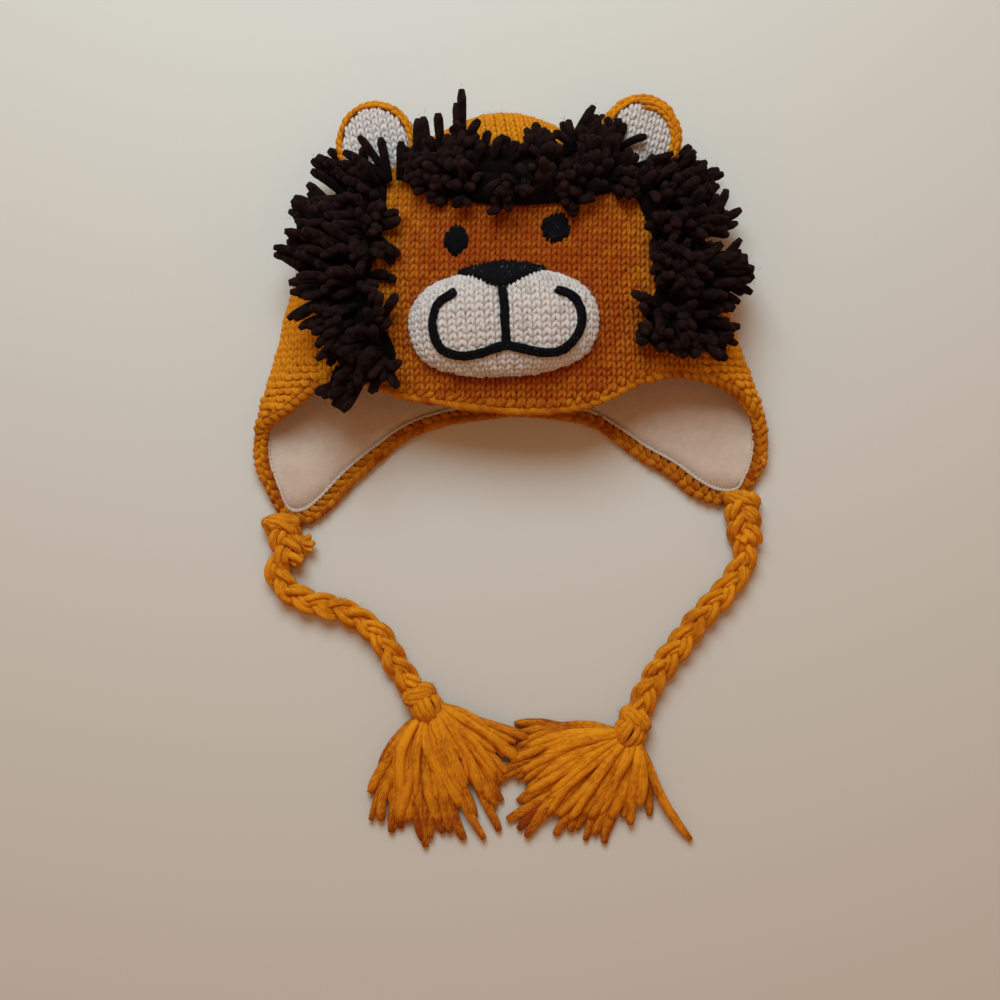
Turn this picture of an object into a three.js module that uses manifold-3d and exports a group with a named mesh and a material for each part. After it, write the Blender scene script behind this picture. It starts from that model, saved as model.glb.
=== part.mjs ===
// Baby hat with ears: a knitted animal hat with ear flaps and braided ties.
// It lies on its back with the face up. Millimetres, +Z up, +Y towards the top of the hat.
// The origin is on the table under the crown.
import * as THREE from 'three';
import { mergeVertices } from 'three/addons/utils/BufferGeometryUtils.js';
import Module from 'manifold-3d';

const wasm = await Module();
wasm.setup();

// Driving sizes of the hat
const HAT_WIDTH = 238;          // flat width near the lower edge
const CROWN_LENGTH = 139;       // top of the crown to the middle of the front edge
const CROWN_HEIGHT = 45;        // greatest thickness as the hat lies
const FLAP_DROP = 50;           // front edge to the tip of the longer flap
const ORIGIN_SHARE = 0.612;     // share of the crown's length that lies above the origin
const KNIT_WALL = 3;
const LINING_WALL = 1.5;
const EDGING_WIDTH = 6;
const EDGING_THICK = 4.4;
const CLEARANCE = 0.3;          // gap between neighbouring pieces
const LINING_GAP = 0.45;        // gap between the knit and the lining
const HEM_GAP = 0.55;           // gap from the edging to the walls that it closes

// Sizes of the face
const MUZZLE_WIDTH = 83;
const MUZZLE_LENGTH = 46;
const MUZZLE_PAD = 13;          // how far the padding stands above the crown
const MUZZLE_PLACE = { x: -3, y: -14 };
const MUZZLE_TURN = 0.05;
const NOSE_WIDTH = 38;
const NOSE_LENGTH = 14.5;
const NOSE_THICK = 2.6;
const YARN = 3.6;               // thickness of the mouth's yarn line
const EYE_LENGTH = 13.4;
const EYE_WIDTH = 10.4;
const EYE_THICK = 1.8;

// Sizes of the ears
const EAR_WIDTH = 35;
const EAR_LENGTH = 42;
const EAR_RIM = 3.6;            // width of the turned rim round the ear's face
const EAR_THICK = 9;

// Sizes of the mane, ties and tassels
const MANE_BAND = 30;           // width of the bolster of cut yarn that carries the locks
const MANE_BACKING = 9;
const LOCK_LENGTH = 24;
const LOCK_WIDTH = 10;
const TIE_WIDTH = 12.4;
const ROOT_LENGTH = 23;
const ROOT_WIDTH = 17;
const KNOT_WIDTH = 17;
const TASSEL_LENGTH = 55;
const TASSEL_THICK = 15;

const TOP_Y = CROWN_LENGTH * ORIGIN_SHARE;
const FRONT_Y = TOP_Y - CROWN_LENGTH;

const COLOURS = {
  gold: { color: 0xd08a16, roughness: 0.95, metalness: 0 },
  edge: { color: 0xb9690f, roughness: 0.95, metalness: 0 },
  cream: { color: 0xe2d8cc, roughness: 0.95, metalness: 0 },
  fleece: { color: 0xcfc3b2, roughness: 0.98, metalness: 0 },
  brown: { color: 0x2a1613, roughness: 0.95, metalness: 0 },
  black: { color: 0x17161c, roughness: 0.9, metalness: 0 },
};

// Cross-sections from the top of the crown down to the flap tips. level: 0 at the crown's top, 1 at the
// front edge, 2 at the tip of the longer flap. half and aside: shares of half the hat's width. high, foot
// and corner (radius of the side fold): shares of the crown's height.
const SECTIONS = [
  { level: 0.000, half: 0.000, aside: -0.025, high: 0.31, foot: 0.310, corner: 0.00 },
  { level: 0.018, half: 0.124, aside: -0.025, high: 0.54, foot: 0.120, corner: 0.19 },
  { level: 0.050, half: 0.222, aside: -0.020, high: 0.65, foot: 0.035, corner: 0.22 },
  { level: 0.100, half: 0.350, aside: -0.012, high: 0.75, foot: 0.000, corner: 0.23 },
  { level: 0.150, half: 0.492, aside: 0.000, high: 0.82, foot: 0.000, corner: 0.23 },
  { level: 0.200, half: 0.590, aside: -0.004, high: 0.88, foot: 0.000, corner: 0.22 },
  { level: 0.273, half: 0.664, aside: -0.008, high: 0.93, foot: 0.000, corner: 0.22 },
  { level: 0.396, half: 0.731, aside: -0.014, high: 0.98, foot: 0.000, corner: 0.21 },
  { level: 0.547, half: 0.808, aside: -0.018, high: 1.00, foot: 0.000, corner: 0.21 },
  { level: 0.669, half: 0.862, aside: -0.010, high: 0.99, foot: 0.000, corner: 0.20 },
  { level: 0.770, half: 0.894, aside: -0.004, high: 0.96, foot: 0.000, corner: 0.20 },
  { level: 0.906, half: 0.950, aside: 0.002, high: 0.89, foot: 0.000, corner: 0.195 },
  { level: 1.100, half: 0.991, aside: 0.004, high: 0.83, foot: 0.000, corner: 0.195 },
  { level: 1.300, half: 1.000, aside: 0.002, high: 0.86, foot: 0.000, corner: 0.20 },
  { level: 1.480, half: 0.989, aside: 0.002, high: 0.88, foot: 0.000, corner: 0.19 },
  { level: 1.660, half: 0.962, aside: 0.000, high: 0.88, foot: 0.000, corner: 0.18 },
  { level: 1.840, half: 0.936, aside: 0.000, high: 0.88, foot: 0.000, corner: 0.17 },
  { level: 2.100, half: 0.905, aside: 0.000, high: 0.88, foot: 0.000, corner: 0.16 },
];

// The lower edge, from the middle of the front round one side to the middle of the back.
// around: 0 at the front, 1 at the side fold, 2 at the back. Levels as above.
const EDGE_LEFT = [
  { around: 0.00, level: 1.000 },
  { around: 0.25, level: 0.974 },
  { around: 0.40, level: 0.950 },
  { around: 0.52, level: 0.908 },
  { around: 0.62, level: 0.897 },
  { around: 0.71, level: 0.905 },
  { around: 0.79, level: 0.955 },
  { around: 0.86, level: 1.000 },
  { around: 0.93, level: 1.070 },
  { around: 0.99, level: 1.200 },
  { around: 1.01, level: 1.450 },
  { around: 1.02, level: 1.700 },
  { around: 1.05, level: 1.880 },
  { around: 1.11, level: 1.990 },
  { around: 1.19, level: 1.970 },
  { around: 1.28, level: 1.840 },
  { around: 1.40, level: 1.600 },
  { around: 1.52, level: 1.370 },
  { around: 1.62, level: 1.180 },
  { around: 1.74, level: 1.070 },
  { around: 1.87, level: 1.010 },
  { around: 2.00, level: 0.990 },
];
const EDGE_RIGHT = [
  { around: 0.00, level: 1.000 },
  { around: 0.18, level: 0.996 },
  { around: 0.32, level: 0.970 },
  { around: 0.44, level: 0.918 },
  { around: 0.54, level: 0.888 },
  { around: 0.63, level: 0.878 },
  { around: 0.72, level: 0.885 },
  { around: 0.81, level: 0.906 },
  { around: 0.90, level: 0.947 },
  { around: 0.97, level: 1.060 },
  { around: 1.00, level: 1.260 },
  { around: 1.02, level: 1.480 },
  { around: 1.05, level: 1.680 },
  { around: 1.11, level: 1.800 },
  { around: 1.20, level: 1.790 },
  { around: 1.30, level: 1.690 },
  { around: 1.41, level: 1.520 },
  { around: 1.52, level: 1.370 },
  { around: 1.62, level: 1.190 },
  { around: 1.70, level: 1.070 },
  { around: 1.84, level: 1.000 },
  { around: 2.00, level: 0.990 },
];

// Dents and swells of the upper side. x: share of half the width, level as above, reach: share of the
// crown's length, rise: share of the crown's height.
const DENTS = [
  { x: -0.55, level: 0.80, reach: 0.16, rise: -0.055 },
  { x: 0.57, level: 0.76, reach: 0.15, rise: -0.060 },
  { x: -0.30, level: 0.93, reach: 0.10, rise: 0.035 },
  { x: 0.28, level: 0.92, reach: 0.10, rise: 0.030 },
  { x: 0.02, level: 0.36, reach: 0.14, rise: -0.040 },
  { x: -0.72, level: 0.95, reach: 0.10, rise: 0.045 },
  { x: 0.80, level: 0.88, reach: 0.10, rise: 0.040 },
];

function mix(a, b, t) {
  return a + (b - a) * t;
}

function levelY(level) {
  return level <= 1 ? TOP_Y - level * CROWN_LENGTH : FRONT_Y - (level - 1) * FLAP_DROP;
}

// Smooth reading of the sections by the distance below the crown's top
const SECTION_KEYS = ['half', 'aside', 'high', 'foot', 'corner'];
const SECTION_UNITS = {
  half: HAT_WIDTH / 2,
  aside: HAT_WIDTH / 2,
  high: CROWN_HEIGHT,
  foot: CROWN_HEIGHT,
  corner: CROWN_HEIGHT,
};
const sectionPlaces = SECTIONS.map((row) => Math.sqrt(TOP_Y - levelY(row.level)));
const sectionValues = {};
for (const key of SECTION_KEYS) sectionValues[key] = SECTIONS.map((row) => row[key] * SECTION_UNITS[key]);

function slopeAt(values, index) {
  const before = Math.max(index - 1, 0);
  const after = Math.min(index + 1, values.length - 1);
  return (values[after] - values[before]) / (sectionPlaces[after] - sectionPlaces[before]);
}

function sectionAt(y) {
  const last = SECTIONS.length - 1;
  const place = Math.sqrt(Math.max(TOP_Y - y, 0));
  let index = 0;
  while (index < last - 1 && place > sectionPlaces[index + 1]) index += 1;
  const step = sectionPlaces[index + 1] - sectionPlaces[index];
  const t = Math.min((place - sectionPlaces[index]) / step, 1);
  const section = {};
  for (const key of SECTION_KEYS) {
    const values = sectionValues[key];
    section[key] = values[index] * (1 + 2 * t) * (1 - t) ** 2
      + values[index + 1] * t * t * (3 - 2 * t)
      + slopeAt(values, index) * step * t * (1 - t) ** 2
      - slopeAt(values, index + 1) * step * t * t * (1 - t);
  }
  section.foot = Math.max(section.foot, 0);
  return section;
}

function dentAt(x, y) {
  let rise = 0;
  for (const dent of DENTS) {
    const away = Math.hypot(x - dent.x * HAT_WIDTH / 2, y - levelY(dent.level));
    rise += dent.rise * CROWN_HEIGHT * Math.exp(-((away / (dent.reach * CROWN_LENGTH)) ** 2));
  }
  return rise;
}

// The angle on the upper half-ellipse that lies at a share of its arc from the middle to the fold
const ARC_STEPS = 32;
function archAngle(half, rise, share) {
  const lengths = [0];
  for (let step = 0; step < ARC_STEPS; step += 1) {
    const angle = (Math.PI / 2) * (1 - (step + 0.5) / ARC_STEPS);
    lengths.push(lengths[step] + Math.hypot(half * Math.sin(angle), rise * Math.cos(angle)));
  }
  const wanted = share * lengths[ARC_STEPS];
  let step = 0;
  while (step < ARC_STEPS - 1 && lengths[step + 1] < wanted) step += 1;
  const part = (wanted - lengths[step]) / (lengths[step + 1] - lengths[step] || 1);
  return (Math.PI / 2) * (1 - (step + part) / ARC_STEPS);
}

// A point of the crown's outer surface
function surfacePoint(around, y) {
  const side = around < 0 ? -1 : 1;
  const turn = Math.abs(around);
  const { half, aside, high, foot, corner } = sectionAt(y);
  const fold = foot + corner;
  if (turn <= 1) {
    const angle = archAngle(half, high - fold, turn);
    const x = aside + side * half * Math.cos(angle);
    return new THREE.Vector3(x, y, fold + (high - fold + dentAt(x, y)) * Math.sin(angle));
  }
  const flat = Math.max(half - corner, 0);
  const bend = corner * Math.PI / 2;
  const run = (turn - 1) * (flat + bend);
  if (run < bend) {
    const angle = run / corner;
    const x = aside + side * (flat + corner * Math.cos(angle));
    return new THREE.Vector3(x, y, fold - corner * Math.sin(angle));
  }
  return new THREE.Vector3(aside + side * (flat + bend - run), y, foot);
}

const PROBE = 0.4;
function surfaceNormal(around, y) {
  const turn = PROBE / (HAT_WIDTH / 4);
  const acrossStep = surfacePoint(around + turn, y).sub(surfacePoint(around - turn, y));
  const upStep = surfacePoint(around, y + PROBE).sub(surfacePoint(around, y - PROBE));
  return acrossStep.cross(upStep).normalize();
}

// Height of the crown's upper side over a place on the table
function crownHeight(x, y) {
  const { half, aside, high, foot, corner } = sectionAt(y);
  const fold = foot + corner;
  const across = Math.min(Math.abs(x - aside) / half, 1);
  return fold + (high - fold + dentAt(x, y)) * Math.sqrt(1 - across * across);
}

// The lower edge as a curve in the unrolled surface: x runs round the hat, y up it
const QUARTER_GIRTH = HAT_WIDTH / 2 * 1.05;
const edgeRow = (row, side) => new THREE.Vector3(side * row.around * QUARTER_GIRTH, levelY(row.level), 0);
const edgeCurve = new THREE.CatmullRomCurve3([
  ...EDGE_LEFT.slice(1).reverse().map((row) => edgeRow(row, -1)),
  ...EDGE_RIGHT.map((row) => edgeRow(row, 1)),
]);

function edgePlace(t, inset) {
  const place = edgeCurve.getPoint(t);
  const tangent = edgeCurve.getTangent(t);
  return {
    around: (place.x - tangent.y * inset) / QUARTER_GIRTH,
    y: place.y + tangent.x * inset,
  };
}

// A closed mesh from its points and triangles, with its faces turned outwards
function meshOf(points, triangles) {
  const corners = [];
  for (let k = 0; k < triangles.length; k += 3) corners.push(triangles.slice(k, k + 3));
  const volume = corners.reduce((sum, [a, b, c]) => (
    sum + points[a].clone().cross(points[b]).dot(points[c])
  ), 0);
  const outward = volume > 0 ? corners : corners.map(([a, b, c]) => [a, c, b]);
  const positions = points.flatMap((p) => [p.x, p.y, p.z]);
  const geometry = new THREE.BufferGeometry();
  geometry.setAttribute('position', new THREE.Float32BufferAttribute(positions, 3));
  geometry.setIndex(outward.flat());
  return geometry;
}

// otherWay splits each four-sided face along its other diagonal
function ringBand(triangles, first, second, count, otherWay = false) {
  for (let k = 0; k < count; k += 1) {
    const next = (k + 1) % count;
    if (otherWay) {
      triangles.push(first + k, first + next, second + k);
      triangles.push(first + next, second + next, second + k);
    } else {
      triangles.push(first + k, first + next, second + next);
      triangles.push(first + k, second + next, second + k);
    }
  }
}

function ringFan(triangles, tip, ring, count, outward) {
  for (let k = 0; k < count; k += 1) {
    const next = (k + 1) % count;
    if (outward) triangles.push(tip, ring + k, ring + next);
    else triangles.push(tip, ring + next, ring + k);
  }
}

// Rings of equal length from a first tip to a last tip. Rings after the turning one run back along the
// wall's other side, where the faces are split as on the first side.
function tippedBody(firstTip, rings, lastTip, turning = rings.length) {
  const count = rings[0].length;
  const points = [firstTip, ...rings.flat(), lastTip];
  const triangles = [];
  ringFan(triangles, 0, 1, count, false);
  for (let k = 0; k < rings.length - 1; k += 1) {
    ringBand(triangles, 1 + k * count, 1 + (k + 1) * count, count, k >= turning);
  }
  ringFan(triangles, points.length - 1, 1 + (rings.length - 1) * count, count, true);
  return meshOf(points, triangles);
}

function toSolid(geometry) {
  const bare = geometry.clone();
  bare.deleteAttribute('normal');
  bare.deleteAttribute('uv');
  const merged = mergeVertices(bare, 1e-4);
  return new wasm.Manifold(new wasm.Mesh({
    numProp: 3,
    vertProperties: new Float32Array(merged.attributes.position.array),
    triVerts: new Uint32Array(merged.index.array),
  }));
}

function toGeometry(solid) {
  const { vertProperties, triVerts } = solid.getMesh();
  const geometry = new THREE.BufferGeometry();
  geometry.setAttribute('position', new THREE.BufferAttribute(new Float32Array(vertProperties), 3));
  geometry.setIndex(new THREE.BufferAttribute(new Uint32Array(triVerts), 1));
  return geometry;
}

// What a cut leaves as loose crumbs isn't part of a piece
function mainBody(solid) {
  const pieces = solid.decompose();
  return pieces.reduce((best, piece) => (piece.volume() > best.volume() ? piece : best));
}

function joined(solids) {
  return solids.reduce((sum, solid) => sum.add(solid));
}

// The crown and the lining: bags whose walls follow the outer surface
const COLUMNS = 44;
const ROWS = 9;
const TOP_CROWDING = 1.6;       // more rows where the crown rounds over
const FOLD_CROWDING = 0.55;     // more columns at the side folds

function columnTop(t) {
  const share = Math.abs(4 * t - 2) / 2;
  const crowded = share + FOLD_CROWDING / (2 * Math.PI) * Math.sin(2 * Math.PI * share);
  return 2 * Math.sign(t - 0.5) * crowded;
}

function bagRing(row, depth, inset) {
  const ring = [];
  const share = row / ROWS;
  for (let column = 0; column < COLUMNS; column += 1) {
    const t = column / COLUMNS;
    const edge = edgePlace(t, inset);
    const around = mix(columnTop(t), edge.around, share * share);
    const y = TOP_Y - (TOP_Y - edge.y) * share ** TOP_CROWDING;
    const point = surfacePoint(around, y);
    ring.push(point.addScaledVector(surfaceNormal(around, y), -depth));
  }
  return ring;
}

function bagRings(depth, inset) {
  const rings = [];
  for (let row = 1; row <= ROWS; row += 1) rings.push(bagRing(row, depth, inset));
  return rings;
}

function crownTip(depth) {
  const { aside, high } = sectionAt(TOP_Y);
  return new THREE.Vector3(aside, TOP_Y - depth, high);
}

function bag(outerDepth, wall, inset) {
  const outer = bagRings(outerDepth, inset);
  const inner = bagRings(outerDepth + wall, inset).reverse();
  const rings = [...outer, ...inner];
  return tippedBody(crownTip(outerDepth), rings, crownTip(outerDepth + wall), outer.length);
}

// The room that the crown takes, a clearance wider, closed across the opening
function crownRoom(inset) {
  const rings = bagRings(-CLEARANCE, inset);
  const rim = rings[rings.length - 1];
  const middle = rim.reduce((sum, p) => sum.add(p), new THREE.Vector3()).divideScalar(rim.length);
  return toSolid(tippedBody(crownTip(-CLEARANCE), rings, middle));
}

// The crocheted edging: a rounded strip along the whole lower edge, bent as the surface bends.
// inset: shares of its half width, depth: shares of its half thickness.
const EDGING_SECTION = [
  { inset: 1.0, depth: 0.5 },
  { inset: 0.6, depth: 1.0 },
  { inset: -0.6, depth: 1.0 },
  { inset: -1.0, depth: 0.4 },
  { inset: -1.0, depth: -0.4 },
  { inset: -0.6, depth: -1.0 },
  { inset: 0.6, depth: -1.0 },
  { inset: 1.0, depth: -0.5 },
];

function edgingSolid(grow) {
  const middle = (KNIT_WALL + LINING_GAP + LINING_WALL) / 2;
  const count = EDGING_SECTION.length;
  const points = [];
  const triangles = [];
  for (let column = 0; column < COLUMNS; column += 1) {
    for (const corner of EDGING_SECTION) {
      const inset = EDGING_WIDTH / 2 + corner.inset * (EDGING_WIDTH / 2 + grow);
      const { around, y } = edgePlace(column / COLUMNS, inset);
      const depth = middle + corner.depth * (EDGING_THICK / 2 + grow);
      points.push(surfacePoint(around, y).addScaledVector(surfaceNormal(around, y), -depth));
    }
    ringBand(triangles, column * count, ((column + 1) % COLUMNS) * count, count);
  }
  return toSolid(meshOf(points, triangles));
}

// A pad on the face: a rounded outline that follows what is under it
function superellipse(angle, halfLong, halfWide, power) {
  const c = Math.cos(angle);
  const s = Math.sin(angle);
  const reach = (Math.abs(c) ** power + Math.abs(s) ** power) ** (-1 / power);
  return { x: halfLong * reach * c, y: halfWide * reach * s };
}

const PAD_SHARES = [0.4, 0.7, 0.9, 1.0];  // rings of a pad, from its middle to its outline
function padSolid({ place, turn, halfLong, halfWide, power, sides, ground, rise, grow }) {
  const spot = (angle, share) => {
    const flat = superellipse(angle, (halfLong + grow) * share, (halfWide + grow) * share, power);
    return {
      x: place.x + flat.x * Math.cos(turn) - flat.y * Math.sin(turn),
      y: place.y + flat.x * Math.sin(turn) + flat.y * Math.cos(turn),
      along: flat.x / halfLong,
    };
  };
  const lift = (s, height) => new THREE.Vector3(s.x, s.y, ground(s.x, s.y) + height);
  const ring = (share, height) => {
    const points = [];
    for (let k = 0; k < sides; k += 1) {
      const s = spot(2 * Math.PI * k / sides, share);
      points.push(lift(s, height(share, s.along)));
    }
    return points;
  };
  const under = () => CLEARANCE - grow;
  const over = (share, along) => CLEARANCE + grow + rise(share, along);
  const bottoms = [ring(1, under)];
  const tops = [...PAD_SHARES].reverse().map((share) => ring(share, over));
  const centre = spot(0, 0);
  const body = tippedBody(lift(centre, under()), [...bottoms, ...tops], lift(centre, over(0, 0)));
  return toSolid(body);
}

const LOBE_GROOVE = 0.16;       // depth of the groove between the muzzle's lobes, share of its padding
const LOBE_GROOVE_REACH = 0.14; // and its reach, share of half the muzzle's width
const MUZZLE_POWER = 2.5;       // how square the muzzle's outline is: 2 is an ellipse
const MUZZLE_EDGE = 0.12;       // height of the muzzle's edge, share of its padding
const MUZZLE_FULLNESS = 3.2;    // how flat the middle of the padding is
function muzzleRise(share, along) {
  const groove = LOBE_GROOVE * Math.exp(-((along / LOBE_GROOVE_REACH) ** 2));
  const dome = Math.sqrt(Math.max(1 - share ** MUZZLE_FULLNESS, 0));
  return MUZZLE_PAD * (MUZZLE_EDGE + (1 - MUZZLE_EDGE - groove) * dome);
}

function muzzleSolid(grow) {
  return padSolid({
    place: MUZZLE_PLACE,
    turn: MUZZLE_TURN,
    halfLong: MUZZLE_WIDTH / 2,
    halfWide: MUZZLE_LENGTH / 2,
    power: MUZZLE_POWER,
    sides: 28,
    ground: crownHeight,
    rise: muzzleRise,
    grow,
  });
}

// A place given in shares of half the muzzle, from its middle
function onMuzzle(along, up) {
  const x = along * MUZZLE_WIDTH / 2;
  const y = up * MUZZLE_LENGTH / 2;
  return {
    x: MUZZLE_PLACE.x + x * Math.cos(MUZZLE_TURN) - y * Math.sin(MUZZLE_TURN),
    y: MUZZLE_PLACE.y + x * Math.sin(MUZZLE_TURN) + y * Math.cos(MUZZLE_TURN),
  };
}

// Height of the muzzle's or the crown's upper side, whichever is higher
function faceHeight(x, y) {
  const dx = x - MUZZLE_PLACE.x;
  const dy = y - MUZZLE_PLACE.y;
  const along = (dx * Math.cos(MUZZLE_TURN) + dy * Math.sin(MUZZLE_TURN)) / (MUZZLE_WIDTH / 2);
  const up = (-dx * Math.sin(MUZZLE_TURN) + dy * Math.cos(MUZZLE_TURN)) / (MUZZLE_LENGTH / 2);
  const share = (Math.abs(along) ** MUZZLE_POWER + Math.abs(up) ** MUZZLE_POWER) ** (1 / MUZZLE_POWER);
  const bare = crownHeight(x, y);
  return share < 1 ? bare + CLEARANCE + muzzleRise(share, along) : bare;
}

// The nose: a blunt triangle over the muzzle's upper edge. along and up: shares of the nose's half
// width and of its length.
const NOSE_OUTLINE = [
  { along: 0.00, up: -1.00 },
  { along: 0.24, up: -0.84 },
  { along: 0.52, up: -0.42 },
  { along: 0.88, up: -0.02 },
  { along: 1.00, up: 0.20 },
  { along: 0.86, up: 0.40 },
  { along: 0.44, up: 0.74 },
  { along: 0.00, up: 0.86 },
  { along: -0.44, up: 0.74 },
  { along: -0.86, up: 0.40 },
  { along: -1.00, up: 0.20 },
  { along: -0.88, up: -0.02 },
  { along: -0.52, up: -0.42 },
  { along: -0.24, up: -0.84 },
];
const NOSE_UP = 0.94;           // place of the nose above the muzzle's middle, share of half its length
const NOSE_REACHES = [-0.5, -0.25, 0, 0.25, 0.5]; // places averaged under it, shares of half its length
// Rings of the nose. share of its outline, up: share of its thickness.
const NOSE_RINGS = [
  { share: 1.00, up: 0.45 },
  { share: 0.82, up: 0.90 },
  { share: 0.45, up: 1.00 },
];

function noseSolid(grow) {
  const slope = (s) => {
    // the nose bridges the step at the muzzle's edge
    const heights = NOSE_REACHES.map((k) => faceHeight(s.x, s.y + k * NOSE_LENGTH / 2));
    return Math.max(faceHeight(s.x, s.y), heights.reduce((sum, h) => sum + h) / heights.length);
  };
  const ring = (share, height) => NOSE_OUTLINE.map((row) => {
    const along = row.along * share * (NOSE_WIDTH / 2 + grow) / (MUZZLE_WIDTH / 2);
    const up = NOSE_UP + row.up * share * (NOSE_LENGTH / 2 + grow) / (MUZZLE_LENGTH / 2);
    const s = onMuzzle(along, up);
    return new THREE.Vector3(s.x, s.y, slope(s) + height);
  });
  const middle = onMuzzle(0, NOSE_UP);
  const tip = (height) => new THREE.Vector3(middle.x, middle.y, slope(middle) + height);
  const rings = [
    ring(0.5, CLEARANCE - grow),
    ring(1, CLEARANCE - grow),
    ...NOSE_RINGS.map((row) => ring(row.share, CLEARANCE + NOSE_THICK * row.up + grow)),
  ];
  return toSolid(tippedBody(tip(CLEARANCE - grow), rings, tip(CLEARANCE + NOSE_THICK + grow)));
}

// The mouth's line: a smile with both ends curled up and in. Shares of half the muzzle.
const MOUTH_LINE = [
  { along: -0.50, up: 0.58 },
  { along: -0.66, up: 0.42 },
  { along: -0.74, up: 0.12 },
  { along: -0.73, up: -0.26 },
  { along: -0.64, up: -0.50 },
  { along: -0.46, up: -0.62 },
  { along: -0.28, up: -0.60 },
  { along: -0.12, up: -0.52 },
  { along: 0.01, up: -0.47 },
  { along: 0.16, up: -0.53 },
  { along: 0.34, up: -0.62 },
  { along: 0.54, up: -0.63 },
  { along: 0.70, up: -0.46 },
  { along: 0.80, up: -0.18 },
  { along: 0.81, up: 0.14 },
  { along: 0.72, up: 0.42 },
  { along: 0.57, up: 0.54 },
];
const MOUTH_LINE_STEPS = 22;
const MOUTH_STEM_STEPS = 4;
const MOUTH_STEM = [
  { along: 0.00, up: 0.62 },
  { along: 0.01, up: 0.30 },
  { along: 0.01, up: -0.10 },
  { along: 0.01, up: -0.47 },
];

function tube(points, radius, sides, steps) {
  const section = new THREE.Shape();
  for (let k = 0; k < sides; k += 1) {
    const angle = 2 * Math.PI * (k + 0.5) / sides;
    const x = radius * Math.cos(angle);
    const y = radius * Math.sin(angle);
    if (k === 0) section.moveTo(x, y);
    else section.lineTo(x, y);
  }
  section.closePath();
  const curve = new THREE.CatmullRomCurve3(points);
  return new THREE.ExtrudeGeometry(section, { steps, extrudePath: curve, bevelEnabled: false });
}

// A strand that lies on the face. across: shares of half the yarn, up: shares of the yarn.
const STRAND_SECTION = [
  { across: -1.0, up: 0.0 },
  { across: 1.0, up: 0.0 },
  { across: 0.9, up: 0.55 },
  { across: 0.0, up: 0.85 },
  { across: -0.9, up: 0.55 },
];

const STRAND_END = { out: 0.35, up: 0.4 };  // rounded end of a strand, shares of the yarn

function mouthStrand(rows, steps) {
  const curve = new THREE.CatmullRomCurve3(rows.map((row) => {
    const s = onMuzzle(row.along, row.up);
    return new THREE.Vector3(s.x, s.y, 0);
  }));
  const rings = [];
  for (let step = 0; step <= steps; step += 1) {
    const centre = curve.getPointAt(step / steps);
    const along = curve.getTangentAt(step / steps);
    rings.push(STRAND_SECTION.map(({ across, up }) => {
      const x = centre.x - along.y * across * YARN / 2;
      const y = centre.y + along.x * across * YARN / 2;
      return new THREE.Vector3(x, y, faceHeight(x, y) + CLEARANCE + up * YARN);
    }));
  }
  const endPoint = (ring, way) => {
    const tip = ring[0].clone().add(ring[1]).divideScalar(2);
    const along = curve.getTangentAt(way < 0 ? 0 : 1).multiplyScalar(way * YARN * STRAND_END.out);
    return tip.add(along).setZ(tip.z + YARN * STRAND_END.up);
  };
  return toSolid(tippedBody(endPoint(rings[0], -1), rings, endPoint(rings[steps], 1)));
}

function mouthSolid(muzzleRoom, noseRoom) {
  const strands = mouthStrand(MOUTH_LINE, MOUTH_LINE_STEPS).add(mouthStrand(MOUTH_STEM, MOUTH_STEM_STEPS));
  return mainBody(strands.subtract(muzzleRoom).subtract(noseRoom));
}

// Eyes: places from the middle of the muzzle in shares of its width, turn in radians
const EYES = {
  left: { x: -0.253, y: 0.442, turn: 1.45, wide: 0.92, power: 2 },
  right: { x: 0.276, y: 0.511, turn: 1.25, wide: 1.06, power: 1.7 },
};

const EYE_EDGE = 0.3;           // height of an eye's edge, share of its thickness

function eyeSolid({ x, y, turn, wide, power }) {
  return padSolid({
    place: { x: MUZZLE_PLACE.x + x * MUZZLE_WIDTH, y: MUZZLE_PLACE.y + y * MUZZLE_WIDTH },
    turn,
    halfLong: EYE_LENGTH / 2,
    halfWide: EYE_WIDTH / 2 * wide,
    power,
    sides: 12,
    ground: crownHeight,
    rise: (share) => EYE_THICK * mix(EYE_EDGE, 1, Math.sqrt(Math.max(1 - share ** 3, 0))),
    grow: 0,
  });
}

// Ears: a knitted back with a turned rim, and the pale face inside the rim. x and y: shares of half
// the hat's width and of the crown's length; tilts in radians.
const EARS = {
  left: { x: -0.510, y: 0.495, high: 0.60, spin: 0.16, nod: 0.10, lean: -0.12, wide: 1.00 },
  right: { x: 0.492, y: 0.505, high: 0.62, spin: -0.22, nod: 0.16, lean: 0.22, wide: 1.06 },
};
const EAR_SIDES = 16;

function earPart(section, ear) {
  const profile = section.map(({ out, rim, up, clearOut = 0, clearUp = 0 }) => new THREE.Vector2(
    out * EAR_WIDTH / 2 + rim * EAR_RIM + clearOut * CLEARANCE,
    up * EAR_THICK + clearUp * CLEARANCE,
  ));
  const lathe = new THREE.LatheGeometry(profile, EAR_SIDES);
  lathe.rotateX(Math.PI / 2);
  lathe.scale(ear.wide, EAR_LENGTH / EAR_WIDTH, 1);
  lathe.rotateX(ear.nod);
  lathe.rotateY(ear.lean);
  lathe.rotateZ(ear.spin);
  lathe.translate(ear.x * HAT_WIDTH / 2, ear.y * CROWN_LENGTH, ear.high * CROWN_HEIGHT);
  return toSolid(lathe);
}

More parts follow.
